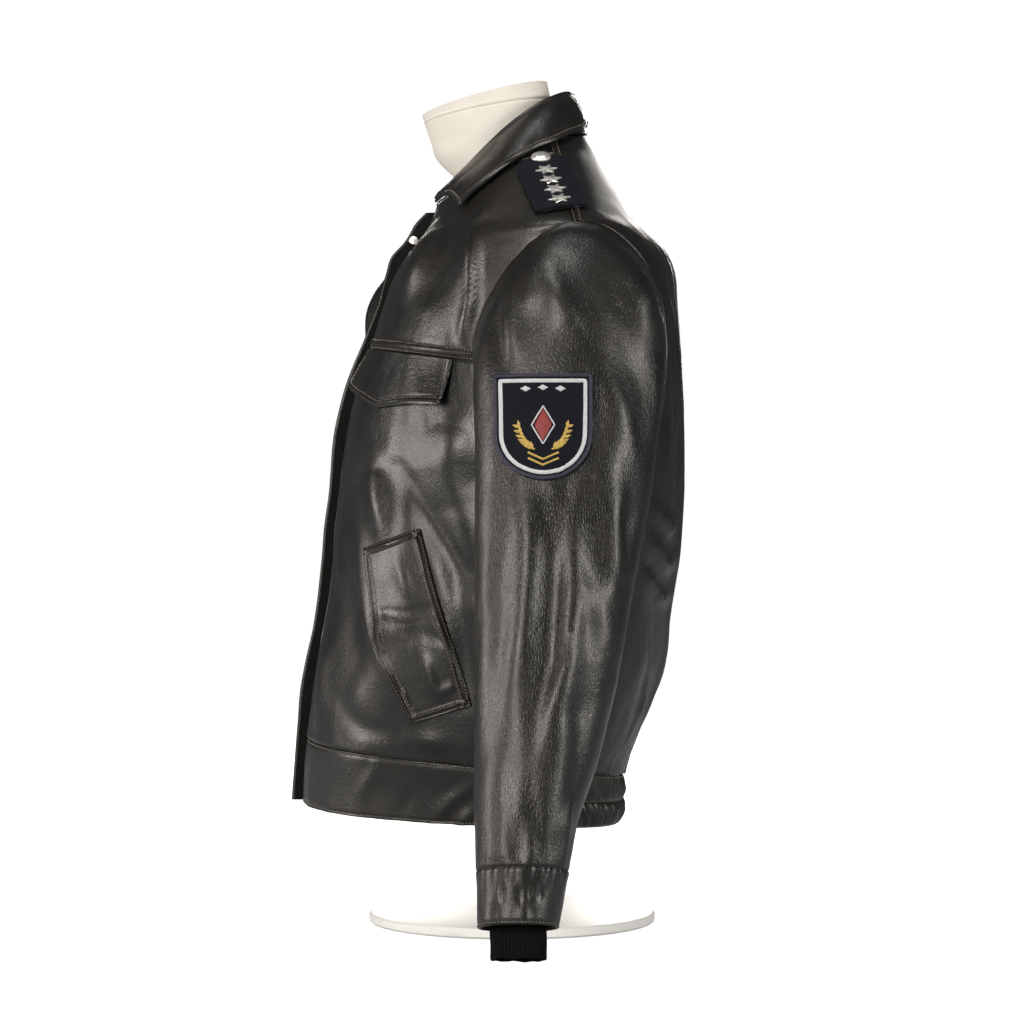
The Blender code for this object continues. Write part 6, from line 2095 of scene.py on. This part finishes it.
class JACKET_OT_straps(bpy.types.Operator):
    """Lay the shoulder straps and their rank slides"""

    bl_idname = "jacket.straps"
    bl_label = "Shoulder straps"

    def execute(self, context):
        make_straps(skin_tree("yoke_left", "back"))
        return {"FINISHED"}


class JACKET_OT_badge(bpy.types.Operator):
    """Sew the badge on the left sleeve"""

    bl_idname = "jacket.badge"
    bl_label = "Sleeve badge"

    def execute(self, context):
        make_badge(skin_tree("upper_sleeve"))
        return {"FINISHED"}


class JACKET_OT_stitching(bpy.types.Operator):
    """Sew all the stitched lines"""

    bl_idname = "jacket.stitching"
    bl_label = "Stitching"

    def execute(self, context):
        if not STITCHES:
            raise RuntimeError("the pieces that are stitched have to be made first")
        for group in sorted(STITCHES):
            build_stitches(group, MATERIALS["thread"])
        return {"FINISHED"}


class JACKET_OT_form(bpy.types.Operator):
    """Cover the dress form and finish the metal"""

    bl_idname = "jacket.form"
    bl_label = "Dress form and metal"

    def execute(self, context):
        make_form()
        finish_metal()
        return {"FINISHED"}


class JACKET_OT_stage(bpy.types.Operator):
    """Set up the floor, camera and lights"""

    bl_idname = "jacket.stage"
    bl_label = "Stage"

    def execute(self, context):
        make_stage()
        return {"FINISHED"}


class JACKET_PT_pieces(bpy.types.Panel):
    """The jacket's pieces, in the order they are made"""

    bl_label = "Uniform jacket"
    bl_space_type = "VIEW_3D"
    bl_region_type = "UI"
    bl_category = "Jacket"

    def draw(self, context):
        for group in ("jacket_sizes", "jacket_stage"):
            settings = getattr(context.scene, group)
            for name in settings.bl_rna.properties.keys():
                if name not in ("rna_type", "name"):
                    self.layout.prop(settings, name)
        for operator in OPERATORS:
            self.layout.operator(operator.bl_idname)


OPERATORS = (
    JACKET_OT_materials,
    JACKET_OT_torso,
    JACKET_OT_sleeves,
    JACKET_OT_cuffs,
    JACKET_OT_waistband,
    JACKET_OT_collar,
    JACKET_OT_pockets,
    JACKET_OT_front_edge,
    JACKET_OT_straps,
    JACKET_OT_badge,
    JACKET_OT_stitching,
    JACKET_OT_form,
    JACKET_OT_stage,
)
GROUPS = {"jacket_sizes": JacketSizes, "jacket_colours": JacketColours, "jacket_stage": JacketStage}


def register():
    for name, group in GROUPS.items():
        bpy.utils.register_class(group)
        setattr(bpy.types.Scene, name, bpy.props.PointerProperty(type=group))
    for operator in OPERATORS:
        bpy.utils.register_class(operator)
    bpy.utils.register_class(JACKET_PT_pieces)


def unregister():
    bpy.utils.unregister_class(JACKET_PT_pieces)
    for operator in reversed(OPERATORS):
        bpy.utils.unregister_class(operator)
    for name, group in GROUPS.items():
        delattr(bpy.types.Scene, name)
        bpy.utils.unregister_class(group)


def main():
    register()
    for operator in OPERATORS:
        family, action = operator.bl_idname.split(".")
        getattr(getattr(bpy.ops, family), action)()


if __name__ == "__main__":
    main()
